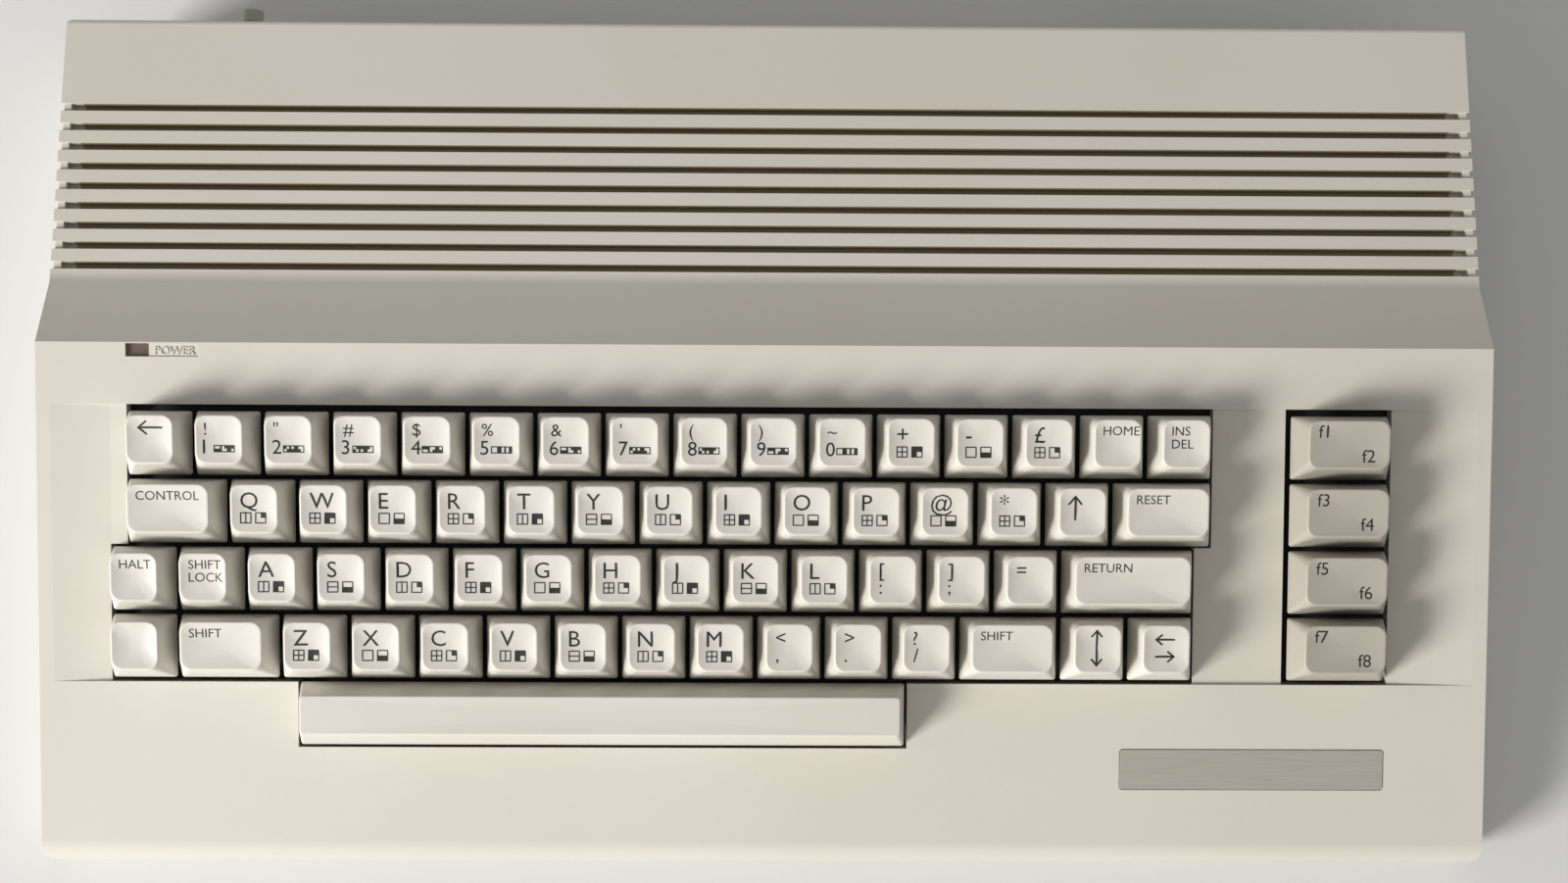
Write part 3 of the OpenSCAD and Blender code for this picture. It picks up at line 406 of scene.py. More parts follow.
def rounded_box(x0, x1, y0, y1, radius):
    """Points round a rectangle with rounded corners, anticlockwise."""
    radius = max(min(radius, (x1 - x0) / 2, (y1 - y0) / 2), 0.001)
    corners = ((x1 - radius, y1 - radius, 0), (x0 + radius, y1 - radius, 90),
               (x0 + radius, y0 + radius, 180), (x1 - radius, y0 + radius, 270))
    points = []
    for cx, cy, start in corners:
        for i in range(CORNER_STEPS + 1):
            angle = math.radians(start + 90 * i / CORNER_STEPS)
            points.append((cx + radius * math.cos(angle), cy + radius * math.sin(angle)))
    return points


# %% [markdown]
# ## The case and the sockets
#
# The case keeps its CAD form, but no moulding has knife edges. A copy of its mesh has its triangles
# merged into flat faces, and then every long outer edge gets a small bevel. The sockets are copies
# too, with their faces shared out between plated steel and black plastic.

# %% Copies of CAD nodes
CREST_Y = 142.2
DROP_Y = 161.9
TOP_Z = 43.0
EDGE_BEVEL = 0.35
MIN_FACE_WIDTH = 2.5
MIN_EDGE_LENGTH = 2.0
MIN_EDGE_ANGLE = math.radians(35)
SKIN_TOLERANCE = 0.05
CASE_SHARP_ANGLE = 23.5


def node_copy(node_name, merge_flat=True):
    """A copy of a node as a bmesh in millimetres, without doubled points."""
    bm = bmesh.new()
    bm.from_mesh(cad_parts[node_name].data)
    bm.transform(Matrix.Scale(1 / MM, 4))
    bmesh.ops.remove_doubles(bm, verts=bm.verts, dist=0.001)
    if merge_flat:
        bmesh.ops.dissolve_limit(bm, angle_limit=math.radians(0.5), verts=bm.verts, edges=bm.edges)
    return bm


def skin_height(y):
    """Height of the case's top at a distance from the front."""
    deck_z = lip_z + (y - lip_y - TOTAL_DEPTH / 2) * math.tan(DECK_SLOPE)
    crest_z = lip_z + (CREST_Y - lip_y - TOTAL_DEPTH / 2) * math.tan(DECK_SLOPE)
    share = (y - CREST_Y) / (DROP_Y - CREST_Y)
    return min(deck_z, max(crest_z + share * (TOP_Z - crest_z), TOP_Z))


def on_skin(point, half_width):
    """Whether a point lies on the case's outside: on a side wall or on the top."""
    side = abs(point.x) > half_width - SKIN_TOLERANCE
    return side or abs(point.z - skin_height(point.y + TOTAL_DEPTH / 2)) < SKIN_TOLERANCE


def soften_case():
    bm = node_copy("top_case")
    half_width = max(v.co.x for v in bm.verts)
    seam = min(v.co.z for v in bm.verts)
    edges = [e for e in bm.edges if e.is_manifold and e.is_convex
             and e.calc_length() > MIN_EDGE_LENGTH and e.calc_face_angle() > MIN_EDGE_ANGLE
             and all(f.calc_area() > MIN_FACE_WIDTH * e.calc_length() for f in e.link_faces)
             and all(on_skin(v.co, half_width) and v.co.z > seam + 0.1 for v in e.verts)]
    bmesh.ops.bevel(bm, geom=edges, offset=EDGE_BEVEL, segments=3, profile=0.5, affect="EDGES",
                    clamp_overlap=True, loop_slide=False)
    finish_piece(bm, "soft_top_case", Matrix(), "case", (case_plastic,), ("top_case",),
                 CASE_SHARP_ANGLE)
    return len(edges)


print("edges softened:", soften_case())

# %% Sockets in two materials
DIN_BLOCK_HALF = 8.5
DIN_CAN = (6.7, 7.6)
DIN_PIN_RING = 5.2
DIN_CORE_DEPTH = 7.2
DIN_CAN_DEPTH = 12.2
REAR_SOCKET_ZONE = 12
PORT_SHELL_REACH = 5.5
PORT_FLANGE = 1.01
PORT_CORE_FRONT = 0.8
SOCKET_SHARP_ANGLE = 30


def islands(bm):
    """Groups of faces that hang together."""
    left = set(bm.faces)
    while left:
        group, front = set(), [left.pop()]
        while front:
            face = front.pop()
            group.add(face)
            near = {f for e in face.edges for f in e.link_faces} & left
            left -= near
            front += near
        yield group


def group_box(group):
    points = [v.co for face in group for v in face.verts]
    low = Vector(min(p[i] for p in points) for i in range(3))
    high = Vector(max(p[i] for p in points) for i in range(3))
    return low, high


def din_face_is_dark(point, low, high):
    """The can and the pins are bright; the core between them and the block behind are dark."""
    from_rear = high.y > TOTAL_DEPTH / 2 - REAR_SOCKET_ZONE
    axis, across = (1, 0) if from_rear else (0, 1)
    depth = high[axis] - point[axis]
    centre = (low[across] + high[across]) / 2
    radius = math.hypot(point[across] - centre, point.z - (high.z - DIN_BLOCK_HALF))
    can = DIN_CAN[0] < radius < DIN_CAN[1] and depth < DIN_CAN_DEPTH
    pins = radius < DIN_PIN_RING and depth < DIN_CORE_DEPTH
    return not (can or pins)


def port_face_is_dark(point, low, high):
    """Behind the flange, and on the core's front inside the shell, the port is plastic."""
    base = high.x - PORT_SHELL_REACH
    return point.x < base - PORT_FLANGE or abs(point.x - base - PORT_CORE_FRONT) < SKIN_TOLERANCE


def two_tone(node_name, is_dark):
    bm = node_copy(node_name, merge_flat=False)
    for group in islands(bm):
        low, high = group_box(group)
        for face in group:
            face.material_index = int(is_dark(face.calc_center_median(), low, high))
    finish_piece(bm, f"two_tone_{node_name}", Matrix(), "case", (tinned, socket_plastic),
                 (node_name,), SOCKET_SHARP_ANGLE)


two_tone("din_sockets", din_face_is_dark)
two_tone("control_ports", port_face_is_dark)

# %% [markdown]
# ## Rows of contacts
#
# The board's edge contacts and the chips' legs are rows of equal blocks, a fixed pitch apart. One
# Geometry Nodes tree makes them all: it is given a mesh of edges, one for each row, and sets a block
# at every step along them. Pitch and block size are its named inputs.

# %% The tree that sets blocks along rows
def block_row_tree():
    tree = bpy.data.node_groups.new("block_rows", "GeometryNodeTree")
    sockets = tree.interface
    sockets.new_socket("Rows", in_out="INPUT", socket_type="NodeSocketGeometry")
    keys = {}
    for name, kind in (("Pitch", "Float"), ("Block size", "Vector"), ("Material", "Material")):
        made = sockets.new_socket(name, in_out="INPUT", socket_type=f"NodeSocket{kind}")
        keys[name] = made.identifier
    sockets.new_socket("Blocks", in_out="OUTPUT", socket_type="NodeSocketGeometry")

    def node(kind, mode=None, **inputs):
        made = tree.nodes.new(kind)
        if mode:
            made.mode = mode
        for name, source in inputs.items():
            tree.links.new(source, made.inputs[name.replace("_", " ")])
        return made

    given = tree.nodes.new("NodeGroupInput").outputs
    rows = node("GeometryNodeMeshToCurve", Mesh=given["Rows"])
    points = node("GeometryNodeCurveToPoints", mode="LENGTH", Curve=rows.outputs["Curve"],
                  Length=given["Pitch"])
    block = node("GeometryNodeMeshCube", Size=given["Block size"])
    copies = node("GeometryNodeInstanceOnPoints", Points=points.outputs["Points"],
                  Instance=block.outputs["Mesh"])
    real = node("GeometryNodeRealizeInstances", Geometry=copies.outputs["Instances"])
    painted = node("GeometryNodeSetMaterial", Geometry=real.outputs["Geometry"],
                   Material=given["Material"])
    out = tree.nodes.new("NodeGroupOutput")
    tree.links.new(painted.outputs["Geometry"], out.inputs["Blocks"])
    return tree, keys


def block_rows(name, rows, pitch, size, material):
    """rows are pairs of points in millimetres; the blocks become one piece on the case."""
    mesh = bpy.data.meshes.new(name)
    points = [Vector(p) * MM for row in rows for p in row]
    mesh.from_pydata(points, [(2 * i, 2 * i + 1) for i in range(len(rows))], [])
    piece = bpy.data.objects.new(name, mesh)
    bpy.context.collection.objects.link(piece)
    modifier = piece.modifiers.new("rows", "NODES")
    modifier.node_group = row_tree
    modifier[row_keys["Pitch"]] = pitch * MM
    modifier[row_keys["Block size"]] = [v * MM for v in size]
    modifier[row_keys["Material"]] = material
    piece.data = evaluated_mesh(piece)
    piece.data.name = name
    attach(piece, "case")
    return len(piece.data.polygons) // 6


row_tree, row_keys = block_row_tree()

# %% Contacts on the board's edge
ROW_SLACK = 0.001
CONTACT_PITCH = 3.96
CONTACT_SIZE = (2.4, 7.0, 0.08)
CONTACT_INSET = 4.0
EDGE_TONGUES = ((-107.5, 54.0), (-51.5, 26.0))
board_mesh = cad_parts["mainboard"].data
board_top = max(v.co.z for v in board_mesh.vertices) / MM
board_bottom = min(v.co.z for v in board_mesh.vertices) / MM
board_rear = max(v.co.y for v in board_mesh.vertices) / MM
contact_rows = []
for middle_x, length in EDGE_TONGUES:
    spans = math.floor((length - CONTACT_SIZE[0]) / CONTACT_PITCH)
    reach = spans * CONTACT_PITCH / 2 + ROW_SLACK
    for z in (board_top, board_bottom):
        y = board_rear - CONTACT_INSET
        contact_rows.append(((middle_x - reach, y, z), (middle_x + reach, y, z)))
made = block_rows("edge_contacts", contact_rows, CONTACT_PITCH, CONTACT_SIZE, gold)
print("contacts:", made)

# %% Legs of the chips
LEG_PITCH = 2.54
LEG_SIZE = (0.5, 0.5, 3.4)
CHIP_MAX_HEIGHT = 4.5
CHIP_ENDS = 2
chips = node_copy("circuit_chips")
leg_rows = []
for group in islands(chips):
    low, high = group_box(group)
    if high.z - low.z > CHIP_MAX_HEIGHT or len(group) != 6:
        continue
    spans = math.floor((high.x - low.x - CHIP_ENDS) / LEG_PITCH)
    reach = spans * LEG_PITCH / 2 + ROW_SLACK
    middle_x = (low.x + high.x) / 2
    z = low.z + LEG_SIZE[2] / 2
    for y in (low.y - LEG_SIZE[1] / 2, high.y + LEG_SIZE[1] / 2):
        leg_rows.append(((middle_x - reach, y, z), (middle_x + reach, y, z)))
chips.free()
print("legs:", block_rows("chip_legs", leg_rows, LEG_PITCH, LEG_SIZE, tinned))

# %% [markdown]
# ## Key caps
#
# A key cap of this age is a hollow, tapered block with a square dish scooped out of its top. Its
# front face leans back far more than its rear face, and its skirt is square where its top is
# rounded. A loft does all of that: rounded rectangles are stacked from the skirt to the rim, then
# sink step by step into the dish.

# %% Sizes of a cap
CAP_DEPTH = PITCH - KEY_GAP
CAP_WALL = 1.3
TOP_THICKNESS = 2.2
RIM_R = 0.42
DISH_R = 3.1
STEM_R = 3.0
STEM_LOW = -8.3 - SKIRT_W
STEM_ROOT = 0.3
SKIRT_R = 0.7
HOLLOW_SHARE = 0.76


class Cap:
    """The form of one cap, with its middle at the origin and its skirt at zero height."""

    def __init__(self, width, side=2.3, front=3.7, rear=0.45, front_h=11.4, rear_h=12.1, dish=0.95,
                 corner=DISH_R):
        self.half = width * PITCH / 2 - KEY_GAP / 2
        self.side, self.front, self.rear = side, front, rear
        self.front_h, self.rear_h = front_h, rear_h
        self.dish, self.corner = dish, corner
        self.x1 = self.half - side
        self.y0 = -CAP_DEPTH / 2 + front
        self.y1 = CAP_DEPTH / 2 - rear
        self.middle_y = (self.y0 + self.y1) / 2
        self.reach = (self.y1 - self.y0) / 2

    def top_z(self, y):
        share = (y - self.y0) / (self.y1 - self.y0)
        return self.front_h + share * (self.rear_h - self.front_h)

    def ring(self, share, inset=0.0, sink=0.0):
        """A loop at a share of the height, moved inwards by inset and down by sink."""
        radius = SKIRT_R + (self.corner - SKIRT_R) * share - inset
        side, front, rear = (share * v for v in (self.side, self.front, self.rear))
        outline = rounded_box(-self.half + side + inset, self.half - side - inset,
                              -CAP_DEPTH / 2 + front + inset, CAP_DEPTH / 2 - rear - inset, radius)
        return [(x, y, share * self.top_z(y) - sink) for x, y in outline]

    def level(self, share):
        """Half width, half depth and corner radius of the dish's level line at a share of it."""
        wide, deep, radius = self.x1 - RIM_R, self.reach - RIM_R, self.corner - RIM_R
        rounder = radius + (min(wide, deep) - radius) * (1 - share)
        return wide * share, deep * share, rounder * share

    def level_share(self, x, y):
        """The share whose level line runs through a point of the top, found by halving."""
        low, high = 0.0, 1.0
        for _ in range(14):
            share = (low + high) / 2
            wide, deep, radius = self.level(share)
            across = abs(x) - (wide - radius)
            along = abs(y - self.middle_y) - (deep - radius)
            outside = math.hypot(max(across, 0), max(along, 0)) + min(max(across, along), 0)
            low, high = (share, high) if outside > radius else (low, share)
        return high

    def dish_sink(self, share):
        return self.dish * (1 - share ** 2)

    def dish_ring(self, share):
        wide, deep, radius = self.level(share)
        outline = rounded_box(-wide, wide, self.middle_y - deep, self.middle_y + deep, radius)
        return [(x, y, self.top_z(y) - self.dish_sink(share)) for x, y in outline]

    def surface(self, x, y):
        return self.top_z(y) - self.dish_sink(self.level_share(x, y))

    def build(self, bm):
        inner = [self.ring(0, CAP_WALL), self.ring(HOLLOW_SHARE, CAP_WALL)]
        outer = [self.ring(s) for s in (0, 0.01, 0.5, 0.94, 0.955)]
        rim = [self.ring(1, RIM_R * (1 - math.cos(a)), RIM_R * (1 - math.sin(a)))
               for a in (math.radians(d) for d in (12, 35, 60, 90))]
        dish = [self.dish_ring(s) for s in (0.95, 0.88, 0.79, 0.68, 0.56, 0.42, 0.27, 0.12)]
        join_loops(bm, list(reversed(inner)) + outer + rim + dish, close_first=True, close_last=True)

    def stem(self, bm, x=0.0):
        """The plunger under the cap, as a closed rod."""
        ends = (STEM_LOW, self.front_h - TOP_THICKNESS + STEM_ROOT)
        join_loops(bm, [circle(x, 0, STEM_R, z) for z in ends], close_first=True, close_last=True)


# %% [markdown]
# ## Legends
#
# The legends are moulded in a dark plastic and lie flush in the dish. Letters come from Blender's
# own font, flattened to a mesh once per text and kept, then each point is laid on the dish by the
# cap's own height formula. Signs that the font lacks, such as arrows and block graphics, are drawn
# as strokes.


# %% Letters as flat meshes
CAPITAL_HEIGHT = 0.729
flat_texts = {}


def flat_text(body):
    """Points and faces of a text with capitals 1 unit high, starting at the origin."""
    if body not in flat_texts:
        curve = bpy.data.curves.new("text", "FONT")
        curve.body = body
        curve.resolution_u = 3
        holder = bpy.data.objects.new("text", curve)
        bpy.context.collection.objects.link(holder)
        evaluated = holder.evaluated_get(bpy.context.evaluated_depsgraph_get())
        mesh = bpy.data.meshes.new_from_object(evaluated)
        points = [(v.co.x / CAPITAL_HEIGHT, v.co.y / CAPITAL_HEIGHT) for v in mesh.vertices]
        faces = [tuple(p.vertices) for p in mesh.polygons]
        bpy.data.objects.remove(holder)
        bpy.data.curves.remove(curve)
        bpy.data.meshes.remove(mesh)
        left = min((p[0] for p in points), default=0)
        flat_texts[body] = [(x - left, y) for x, y in points], faces
    return flat_texts[body]


def stroke(points, width, closed=False):
    """A line of quads along some points, as points and faces."""
    made, faces = [], []
    count = len(points)
    spans = count if closed else count - 1
    for i in range(spans):
        a, b = Vector(points[i]), Vector(points[(i + 1) % count])
        way = (b - a).normalized() * width / 2
        side = Vector((-way.y, way.x))
        start = len(made)
        made += [tuple(p) for p in (a - way - side, b + way - side, b + way + side, a - way + side)]
        faces.append((start, start + 1, start + 2, start + 3))
    return made, faces


# %% Signs drawn as strokes
SIGN_STROKE = 0.5
FRAME_STROKE = 0.3


def arrow(length, turn):
    """An arrow that points to the right, turned by some degrees, its middle at the origin."""
    head = length * 0.27
    tip = length / 2
    shaft = stroke([(-tip, 0), (tip - 0.2, 0)], SIGN_STROKE)
    barbs = stroke([(tip - head * 1.2, head), (tip, 0), (tip - head * 1.2, -head)], SIGN_STROKE)
    turned = Matrix.Rotation(math.radians(turn), 2)
    return [([tuple(turned @ Vector(p)) for p in points], faces) for points, faces in (shaft, barbs)]


def block_graphic(number, size=2.8):
    """A square outline with some of its quarters filled, chosen by the bits of a number."""
    parts = [stroke([(0, 0), (size, 0), (size, size), (0, size)], FRAME_STROKE, closed=True)]
    half = size / 2
    for bit, (x, y) in enumerate(((0, 0), (half, 0), (0, half), (half, half))):
        if number >> bit & 1:
            parts.append(([(x, y), (x + half, y), (x + half, y + half), (x, y + half)], [(0, 1, 2, 3)]))
    return parts


def line_graphic(number, size=2.8):
    """A square outline with one or two lines across it."""
    half = size / 2
    parts = [stroke([(0, 0), (size, 0), (size, size), (0, size)], FRAME_STROKE, closed=True)]
    if number % 2:
        parts.append(stroke([(0, half), (size, half)], FRAME_STROKE))
    if number % 3:
        parts.append(stroke([(half, 0), (half, size)], FRAME_STROKE))
    return parts


# %% Put signs on a cap
LEGEND_LIFT = 0.02
INK_SLOT = 1


class Legend:
    """Collects flat shapes for one cap and lays them on its dish."""

    def __init__(self, bm, cap):
        self.bm = bm
        self.cap = cap

    def lay(self, parts, x, y, size=1.0):
        """x and y are measured from the middle of the cap's top."""
        for points, faces in parts:
            placed = []
            for px, py in points:
                fx, fy = x + px * size, y + py * size + self.cap.middle_y
                placed.append(self.bm.verts.new((fx, fy, self.cap.surface(fx, fy) + LEGEND_LIFT)))
            for face in faces:
                made = self.bm.faces.new([placed[i] for i in face])
                made.normal_update()
                if made.normal.z < 0:
                    made.normal_flip()
                made.material_index = INK_SLOT

    def text(self, body, left, base, height):
        self.lay([flat_text(body)], left, base, height)


# %% Styles of legend
# every place is measured from the middle of the cap's top, or from its left or right edge
GRAPHIC_BASE, GRAPHIC_STEP = -4.0, 4.1
MARK_SIZE, MARK_STEP = 1.7, 1.95
WORD_HEIGHT, WORD_LINE = 2.65, 3.6


def letter_style(legend, cap, text, number):
    left = 2.7 - cap.x1
    legend.text(text, left, 0.1, 4.7)
    legend.lay(line_graphic(number), left, GRAPHIC_BASE)
    legend.lay(block_graphic((number * 5 + 3) % 15), left + GRAPHIC_STEP, GRAPHIC_BASE)


def digit_style(legend, cap, text, number):
    left = 2.1 - cap.x1
    digit, sign = text
    legend.text(sign, left + 0.4, 1.3, 3.6)
    legend.text(digit, left, -3.9, 4.1)
    for i in range(3):
        mark = block_graphic((number * 3 + i * 5) % 15, MARK_SIZE)
        legend.lay(mark, left + 3.0 + i * MARK_STEP, -3.4)


def pair_style(legend, cap, text, number):
    upper, lower = text
    left = 2.9 - cap.x1
    legend.text(upper, left, 0.9, 4.0)
    legend.text(lower, left, -3.9, 4.0)


def word_style(legend, cap, text, number):
    for line, word in enumerate(text):
        legend.text(word, 2.6 - cap.x1, 2.3 - line * WORD_LINE, WORD_HEIGHT)


def function_style(legend, cap, text, number):
    upper, lower = text
    legend.text(upper, 2.7 - cap.x1, 1.9, 3.7)
    legend.text(lower, cap.x1 - 7.7, -4.9, 3.7)


def arrow_style(legend, cap, turns, number):
    if len(turns) == 1:
        upright = turns[0] == 90
        legend.lay(arrow(6.4, turns[0]), -2.0 if upright else 0.1, 1.1 if upright else 3.2)
        return
    for turn, rise in zip(turns, (2.6, -2.2)):
        legend.lay(arrow(5.0, turn), -0.3, rise)


def bare_style(legend, cap, text, number):
    """The key is left without a legend."""


# %% [markdown]
# ## Laying out the keyboard
#
# Each key is one row of a table: its CAD body, its row and its place in key units, and what is on
# it. The table is followed from top to bottom, and all caps on one CAD body become one mesh.

# %% The table of keys
number_signs = ("1!", '2"', "3#", "4$", "5%", "6&", "7'", "8(", "9)", "0~")
SPACE_BAR_CELL = (5, 2.5, 9)
table = [("number_row_keys", 1, 0, 1, arrow_style, (180,))]
table += [("number_row_keys", 1, i + 1, 1, digit_style, signs) for i, signs in enumerate(number_signs)]
table += [("number_row_keys", 1, 11 + i, 1, letter_style, sign) for i, sign in enumerate("+-£")]
table += [("number_row_keys", 1, 14, 1, word_style, ("HOME",)),
          ("number_row_keys", 1, 15, 1, word_style, ("INS", "DEL"))]
for row, left, letters in ((2, 1.5, "QWERTYUIOP"), (3, 1.75, "ASDFGHJKL"), (4, 2.25, "ZXCVBNM")):
    table += [(f"key_{c.lower()}", row, left + i, 1, letter_style, c) for i, c in enumerate(letters)]
table += [("symbol_keys", *cell) for cell in (
    (2, 11.5, 1, letter_style, "@"), (2, 12.5, 1, letter_style, "*"),
    (2, 13.5, 1, arrow_style, (90,)), (2, 14.5, 1.5, word_style, ("RESET",)),
    (3, -0.25, 1, word_style, ("HALT",)), (3, 10.75, 1, pair_style, "[:"),
    (3, 11.75, 1, pair_style, "];"), (3, 12.75, 1, pair_style, "= "),
    (4, -0.25, 1, bare_style, ""), (4, 9.25, 1, pair_style, "<,"),
    (4, 10.25, 1, pair_style, ">."), (4, 11.25, 1, pair_style, "?/"),
    (4, 13.75, 1, arrow_style, (90, -90)), (4, 14.75, 1, arrow_style, (180, 0)))]
table += [("key_control", 2, 0, 1.5, word_style, ("CONTROL",)),
          ("key_shift_lock", 3, 0.75, 1, word_style, ("SHIFT", "LOCK")),
          ("key_return", 3, 13.75, 2, word_style, ("RETURN",)),
          ("key_shift_left", 4, 0.75, 1.5, word_style, ("SHIFT",)),
          ("key_shift_right", 4, 12.25, 1.5, word_style, ("SHIFT",))]
for row, first in ((1, 1), (2, 3), (3, 5), (4, 7)):
    table.append((f"key_f{first}", row, 17.125, 1.5, function_style, (f"f{first}", f"f{first + 1}")))
print("keys in the table:", len(table))

# %% [markdown]
# ## Return springs
#
# A spring round each plunger pushes the key back up. A mesh that stands on the frame can't shorten
# when a key goes down, so each spring is split across the joint: the lower half stands on the frame
# and the upper half rides with its key and slides inside the lower one.

# %% Both halves of a spring
SPRING_BORE = 3.3
SPRING_WIRE = 0.22
SPRING_SLACK = 0.04
SPRING_SEAT = -2.5
SPRING_SPLIT = 4.5
SPRING_TOP = 9.1
SPRING_OVERLAP = 0.1
UPPER_TURNS, LOWER_TURNS = 2, 3
TURN_DEPTH = 0.08
STEEL_SLOT = 2


def spring_half(bm, x, y, bore, low, high, turns):
    """A closed sleeve with one waist for each turn of the coil."""
    rise = (high - low) / (2 * turns)
    outside = [circle(x, y, bore + SPRING_WIRE - TURN_DEPTH * (i % 2), low + i * rise)
               for i in range(2 * turns + 1)]
    rings = join_loops(bm, [*outside, circle(x, y, bore, high), circle(x, y, bore, low)])
    first, last = rings[0], rings[-1]
    for i in range(ROUND_STEPS):
        j = (i + 1) % ROUND_STEPS
        bm.faces.new((last[i], last[j], first[j], first[i]))


def upper_spring(bm):
    """The half that rides with a key, in the cap's own frame."""
    before = len(bm.faces)
    spring_half(bm, 0, 0, SPRING_BORE, SPRING_SPLIT - SPRING_OVERLAP, SPRING_TOP, UPPER_TURNS)
    bm.faces.ensure_lookup_table()
    for face in bm.faces[before:]:
        face.material_index = STEEL_SLOT


bm = bmesh.new()
spring_places = [cell_middle(row, left, width) for body, row, left, width, style, text in table]
lower_bore = SPRING_BORE + SPRING_WIRE + SPRING_SLACK
for x, y in (*spring_places, cell_middle(*SPACE_BAR_CELL)):
    spring_half(bm, x, y, lower_bore, SPRING_SEAT, SPRING_SPLIT + SPRING_OVERLAP, LOWER_TURNS)
finish_piece(bm, "lower_springs", deck @ Matrix.Translation((0, 0, SKIRT_W)), "case", (steel,),
             ("key_springs",))
print("springs:", len(spring_places) + 1)

# %% Build the caps, one mesh for each body
bodies = {}
for number, (body, row, left, width, style, text) in enumerate(table):
    bodies.setdefault(body, []).append((number, row, left, width, style, text))

for body, keys in bodies.items():
    whole = bmesh.new()
    for number, row, left, width, style, text in keys:
        bm = bmesh.new()
        cap = Cap(width)
        cap.build(bm)
        cap.stem(bm)
        upper_spring(bm)
        style(Legend(bm, cap), cap, text, number)
        x, y = cell_middle(row, left, width)
        bm.transform(Matrix.Translation((x, y, SKIRT_W)))
        part = bpy.data.meshes.new("part")
        bm.to_mesh(part)
        bm.free()
        whole.from_mesh(part)
        bpy.data.meshes.remove(part)
    grey = body in ("key_f1", "key_f3", "key_f5", "key_f7")
    finish_piece(whole, f"caps_{body}", deck, body, (grey_key_plastic if grey else key_plastic, ink, steel),
                 (body,))
print("cap meshes:", len(bodies))

# %% The space bar
BAR_GUIDE_X = 57.15
bar = Cap(SPACE_BAR_CELL[2], side=1.7, front=4.8, rear=2.0, rear_h=11.4, dish=0.25, corner=1.2)
bm = bmesh.new()
bar.build(bm)
for x in (-BAR_GUIDE_X, 0, BAR_GUIDE_X):
    bar.stem(bm, x)
upper_spring(bm)
x, y = cell_middle(*SPACE_BAR_CELL)
finish_piece(bm, "space_bar", deck @ Matrix.Translation((x, y, SKIRT_W)), "key_space",
             (key_plastic, ink, steel), ("key_space",))

# %% [markdown]
# ## Badge and lamp label
#
# The badge is a thin painted plate in a shallow pocket. Beside the lamp's window a generic word is
# raised from the floor of its own pocket, in the case's plastic.

# %% Badge plate
BADGE_RIGHT = KEYS_X0 + 18.625 * PITCH
BADGE_LENGTH = 74.9
BADGE_X = (BADGE_RIGHT - BADGE_LENGTH, BADGE_RIGHT)
BADGE_D = (15.56, 26.96)
BADGE_LOW, BADGE_HIGH = -0.8, 0.2
BADGE_CORNER = 0.9
BADGE_EDGE = 0.15


def plate_loop(inset, height):
    """The badge's outline, moved inwards, at a height over the deck."""
    outline = rounded_box(BADGE_X[0] + inset, BADGE_X[1] - inset, BADGE_D[0] + inset, BADGE_D[1] - inset,
                          BADGE_CORNER - inset)
    return [(x, y, height) for x, y in outline]


bm = bmesh.new()
badge_levels = ((0, BADGE_LOW), (0, BADGE_HIGH - BADGE_EDGE),
                (BADGE_EDGE * 0.3, BADGE_HIGH - BADGE_EDGE * 0.3), (BADGE_EDGE, BADGE_HIGH))
join_loops(bm, [plate_loop(*level) for level in badge_levels], close_first=True, close_last=True)
finish_piece(bm, "badge", deck, "case", (badge,), ("badge_plate",))

# %% Raised word beside the lamp
LABEL_X = KEYS_X0 + 8.0
LABEL_D = 137.55
LABEL_HEIGHT = 2.4
LABEL_FLOOR = -0.4
LABEL_RISE = 0.3
bm = bmesh.new()
points, faces = flat_text("POWER")
verts = [bm.verts.new((LABEL_X + x * LABEL_HEIGHT, LABEL_D + y * LABEL_HEIGHT, LABEL_FLOOR))
         for x, y in points]
flats = [bm.faces.new([verts[i] for i in face]) for face in faces]
raised = bmesh.ops.extrude_face_region(bm, geom=flats, use_keep_orig=True)["geom"]
for vert in (v for v in raised if isinstance(v, bmesh.types.BMVert)):
    vert.co.z += LABEL_RISE
bmesh.ops.recalc_face_normals(bm, faces=bm.faces)
finish_piece(bm, "raised_word", deck, "case", (case_plastic,))

# %% [markdown]
# ## Stage, light and camera
#
# The machine lies on a pale floor. A large soft lamp stands low to its left and in front, as a
# window would, and a weak sky fills the shadows. The camera hangs above the machine's front edge.

# %% Floor
floor_mesh = bmesh.new()
FLOOR_HALF = 1500.0
corners = [floor_mesh.verts.new((x, y, 0)) for x, y in ((-1, -1), (1, -1), (1, 1), (-1, 1))]
floor_mesh.faces.new(corners)
floor_mesh.transform(Matrix.Scale(FLOOR_HALF * MM, 4))
floor_data = bpy.data.meshes.new("floor")
floor_mesh.to_mesh(floor_data)
floor_mesh.free()
floor = bpy.data.objects.new("floor", floor_data)
bpy.context.collection.objects.link(floor)
g = Graph("floor_paint")
floor_tint = g.blend(g.noise(3, 3), rgb(226, 226, 224), rgb(220, 220, 218))
floor_data.materials.append(g.set(Base_Color=floor_tint, Roughness=0.75))

# %% Lamps and sky
def soft_lamp(name, place, aim, size, power, colour):
    light = bpy.data.lights.new(name, "AREA")
    light.shape = "RECTANGLE"
    light.size, light.size_y = size
    light.energy = power
    light.color = colour
    lamp = bpy.data.objects.new(name, light)
    bpy.context.collection.objects.link(lamp)
    lamp.location = place
    lamp.rotation_euler = (Vector(aim) - Vector(place)).to_track_quat("-Z", "Y").to_euler()


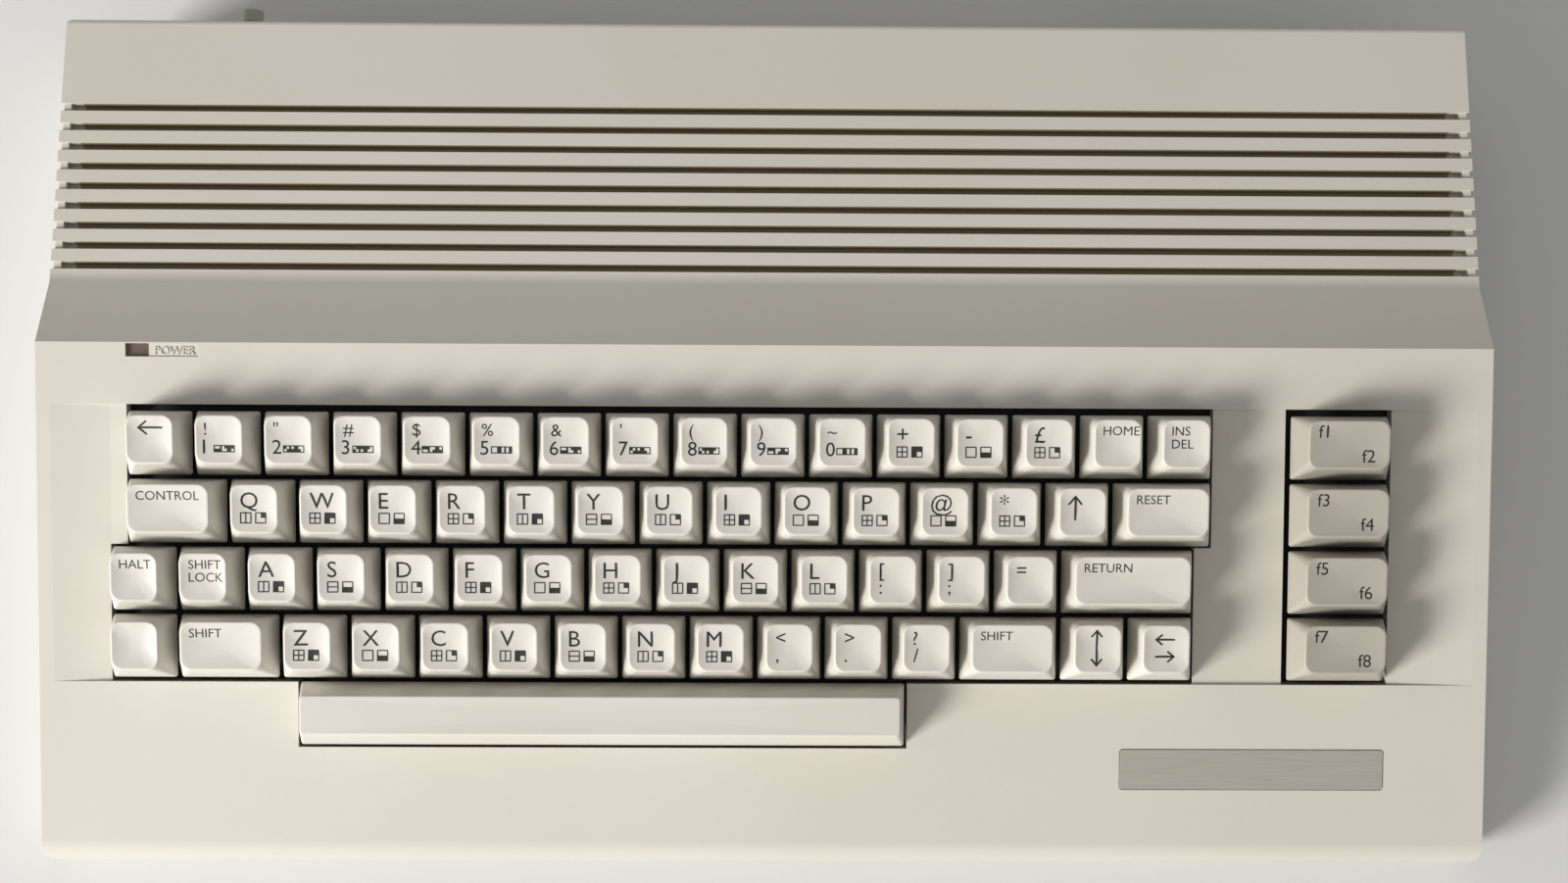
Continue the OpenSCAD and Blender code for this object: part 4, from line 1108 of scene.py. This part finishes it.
WINDOW_WAY = Vector((-0.77, -0.51, 0.395)).normalized()
WINDOW_DISTANCE = 3.0
WINDOW_SIZE = (1.0, 1.0)
WINDOW_POWER = 119
WINDOW_COLOUR = (1.0, 0.99, 0.97)
soft_lamp("window", WINDOW_WAY * WINDOW_DISTANCE, (0, 0, 0), WINDOW_SIZE, WINDOW_POWER, WINDOW_COLOUR)

# the room is dimmer behind the machine than in front of it
SKY_STRENGTH = 0.37
SKY_LEAN = 0.3
sky = bpy.data.worlds.new("sky")
sky.use_nodes = True
sky_nodes, sky_links = sky.node_tree.nodes, sky.node_tree.links
way = sky_nodes.new("ShaderNodeTexCoord").outputs["Generated"]
parts = sky_nodes.new("ShaderNodeSeparateXYZ")
strength = sky_nodes.new("ShaderNodeMath")
strength.operation = "MULTIPLY_ADD"
strength.inputs[1].default_value = -SKY_LEAN * SKY_STRENGTH
strength.inputs[2].default_value = SKY_STRENGTH
sky_links.new(way, parts.inputs[0])
sky_links.new(parts.outputs["Y"], strength.inputs[0])
sky_links.new(strength.outputs[0], sky_nodes["Background"].inputs["Strength"])
sky_nodes["Background"].inputs["Color"].default_value = (1, 1, 1, 1)
bpy.context.scene.world = sky
bpy.context.scene.view_settings.view_transform = "Standard"

# %% Camera
SENSOR_WIDTH = 36
FRAME_WIDTH = 1600
FOCAL_LENGTH = 2231
CAMERA_ANGLES = (-10.699, 0.734, -0.27)
camera_data = bpy.data.cameras.new("camera")
camera_data.sensor_width = SENSOR_WIDTH
camera_data.lens = SENSOR_WIDTH * FOCAL_LENGTH / FRAME_WIDTH
camera = bpy.data.objects.new("camera", camera_data)
bpy.context.collection.objects.link(camera)
tilt, roll, turn = (math.radians(a) for a in CAMERA_ANGLES)
to_camera = (Matrix.Rotation(turn, 4, "Z") @ Matrix.Rotation(roll, 4, "Y")
             @ Matrix.Rotation(tilt, 4, "X"))
camera_place = Vector((-3.1, 1.94 - TOTAL_DEPTH / 2, 649.1)) * MM
camera.matrix_world = Matrix.Translation(camera_place) @ to_camera.inverted()
bpy.context.scene.camera = camera
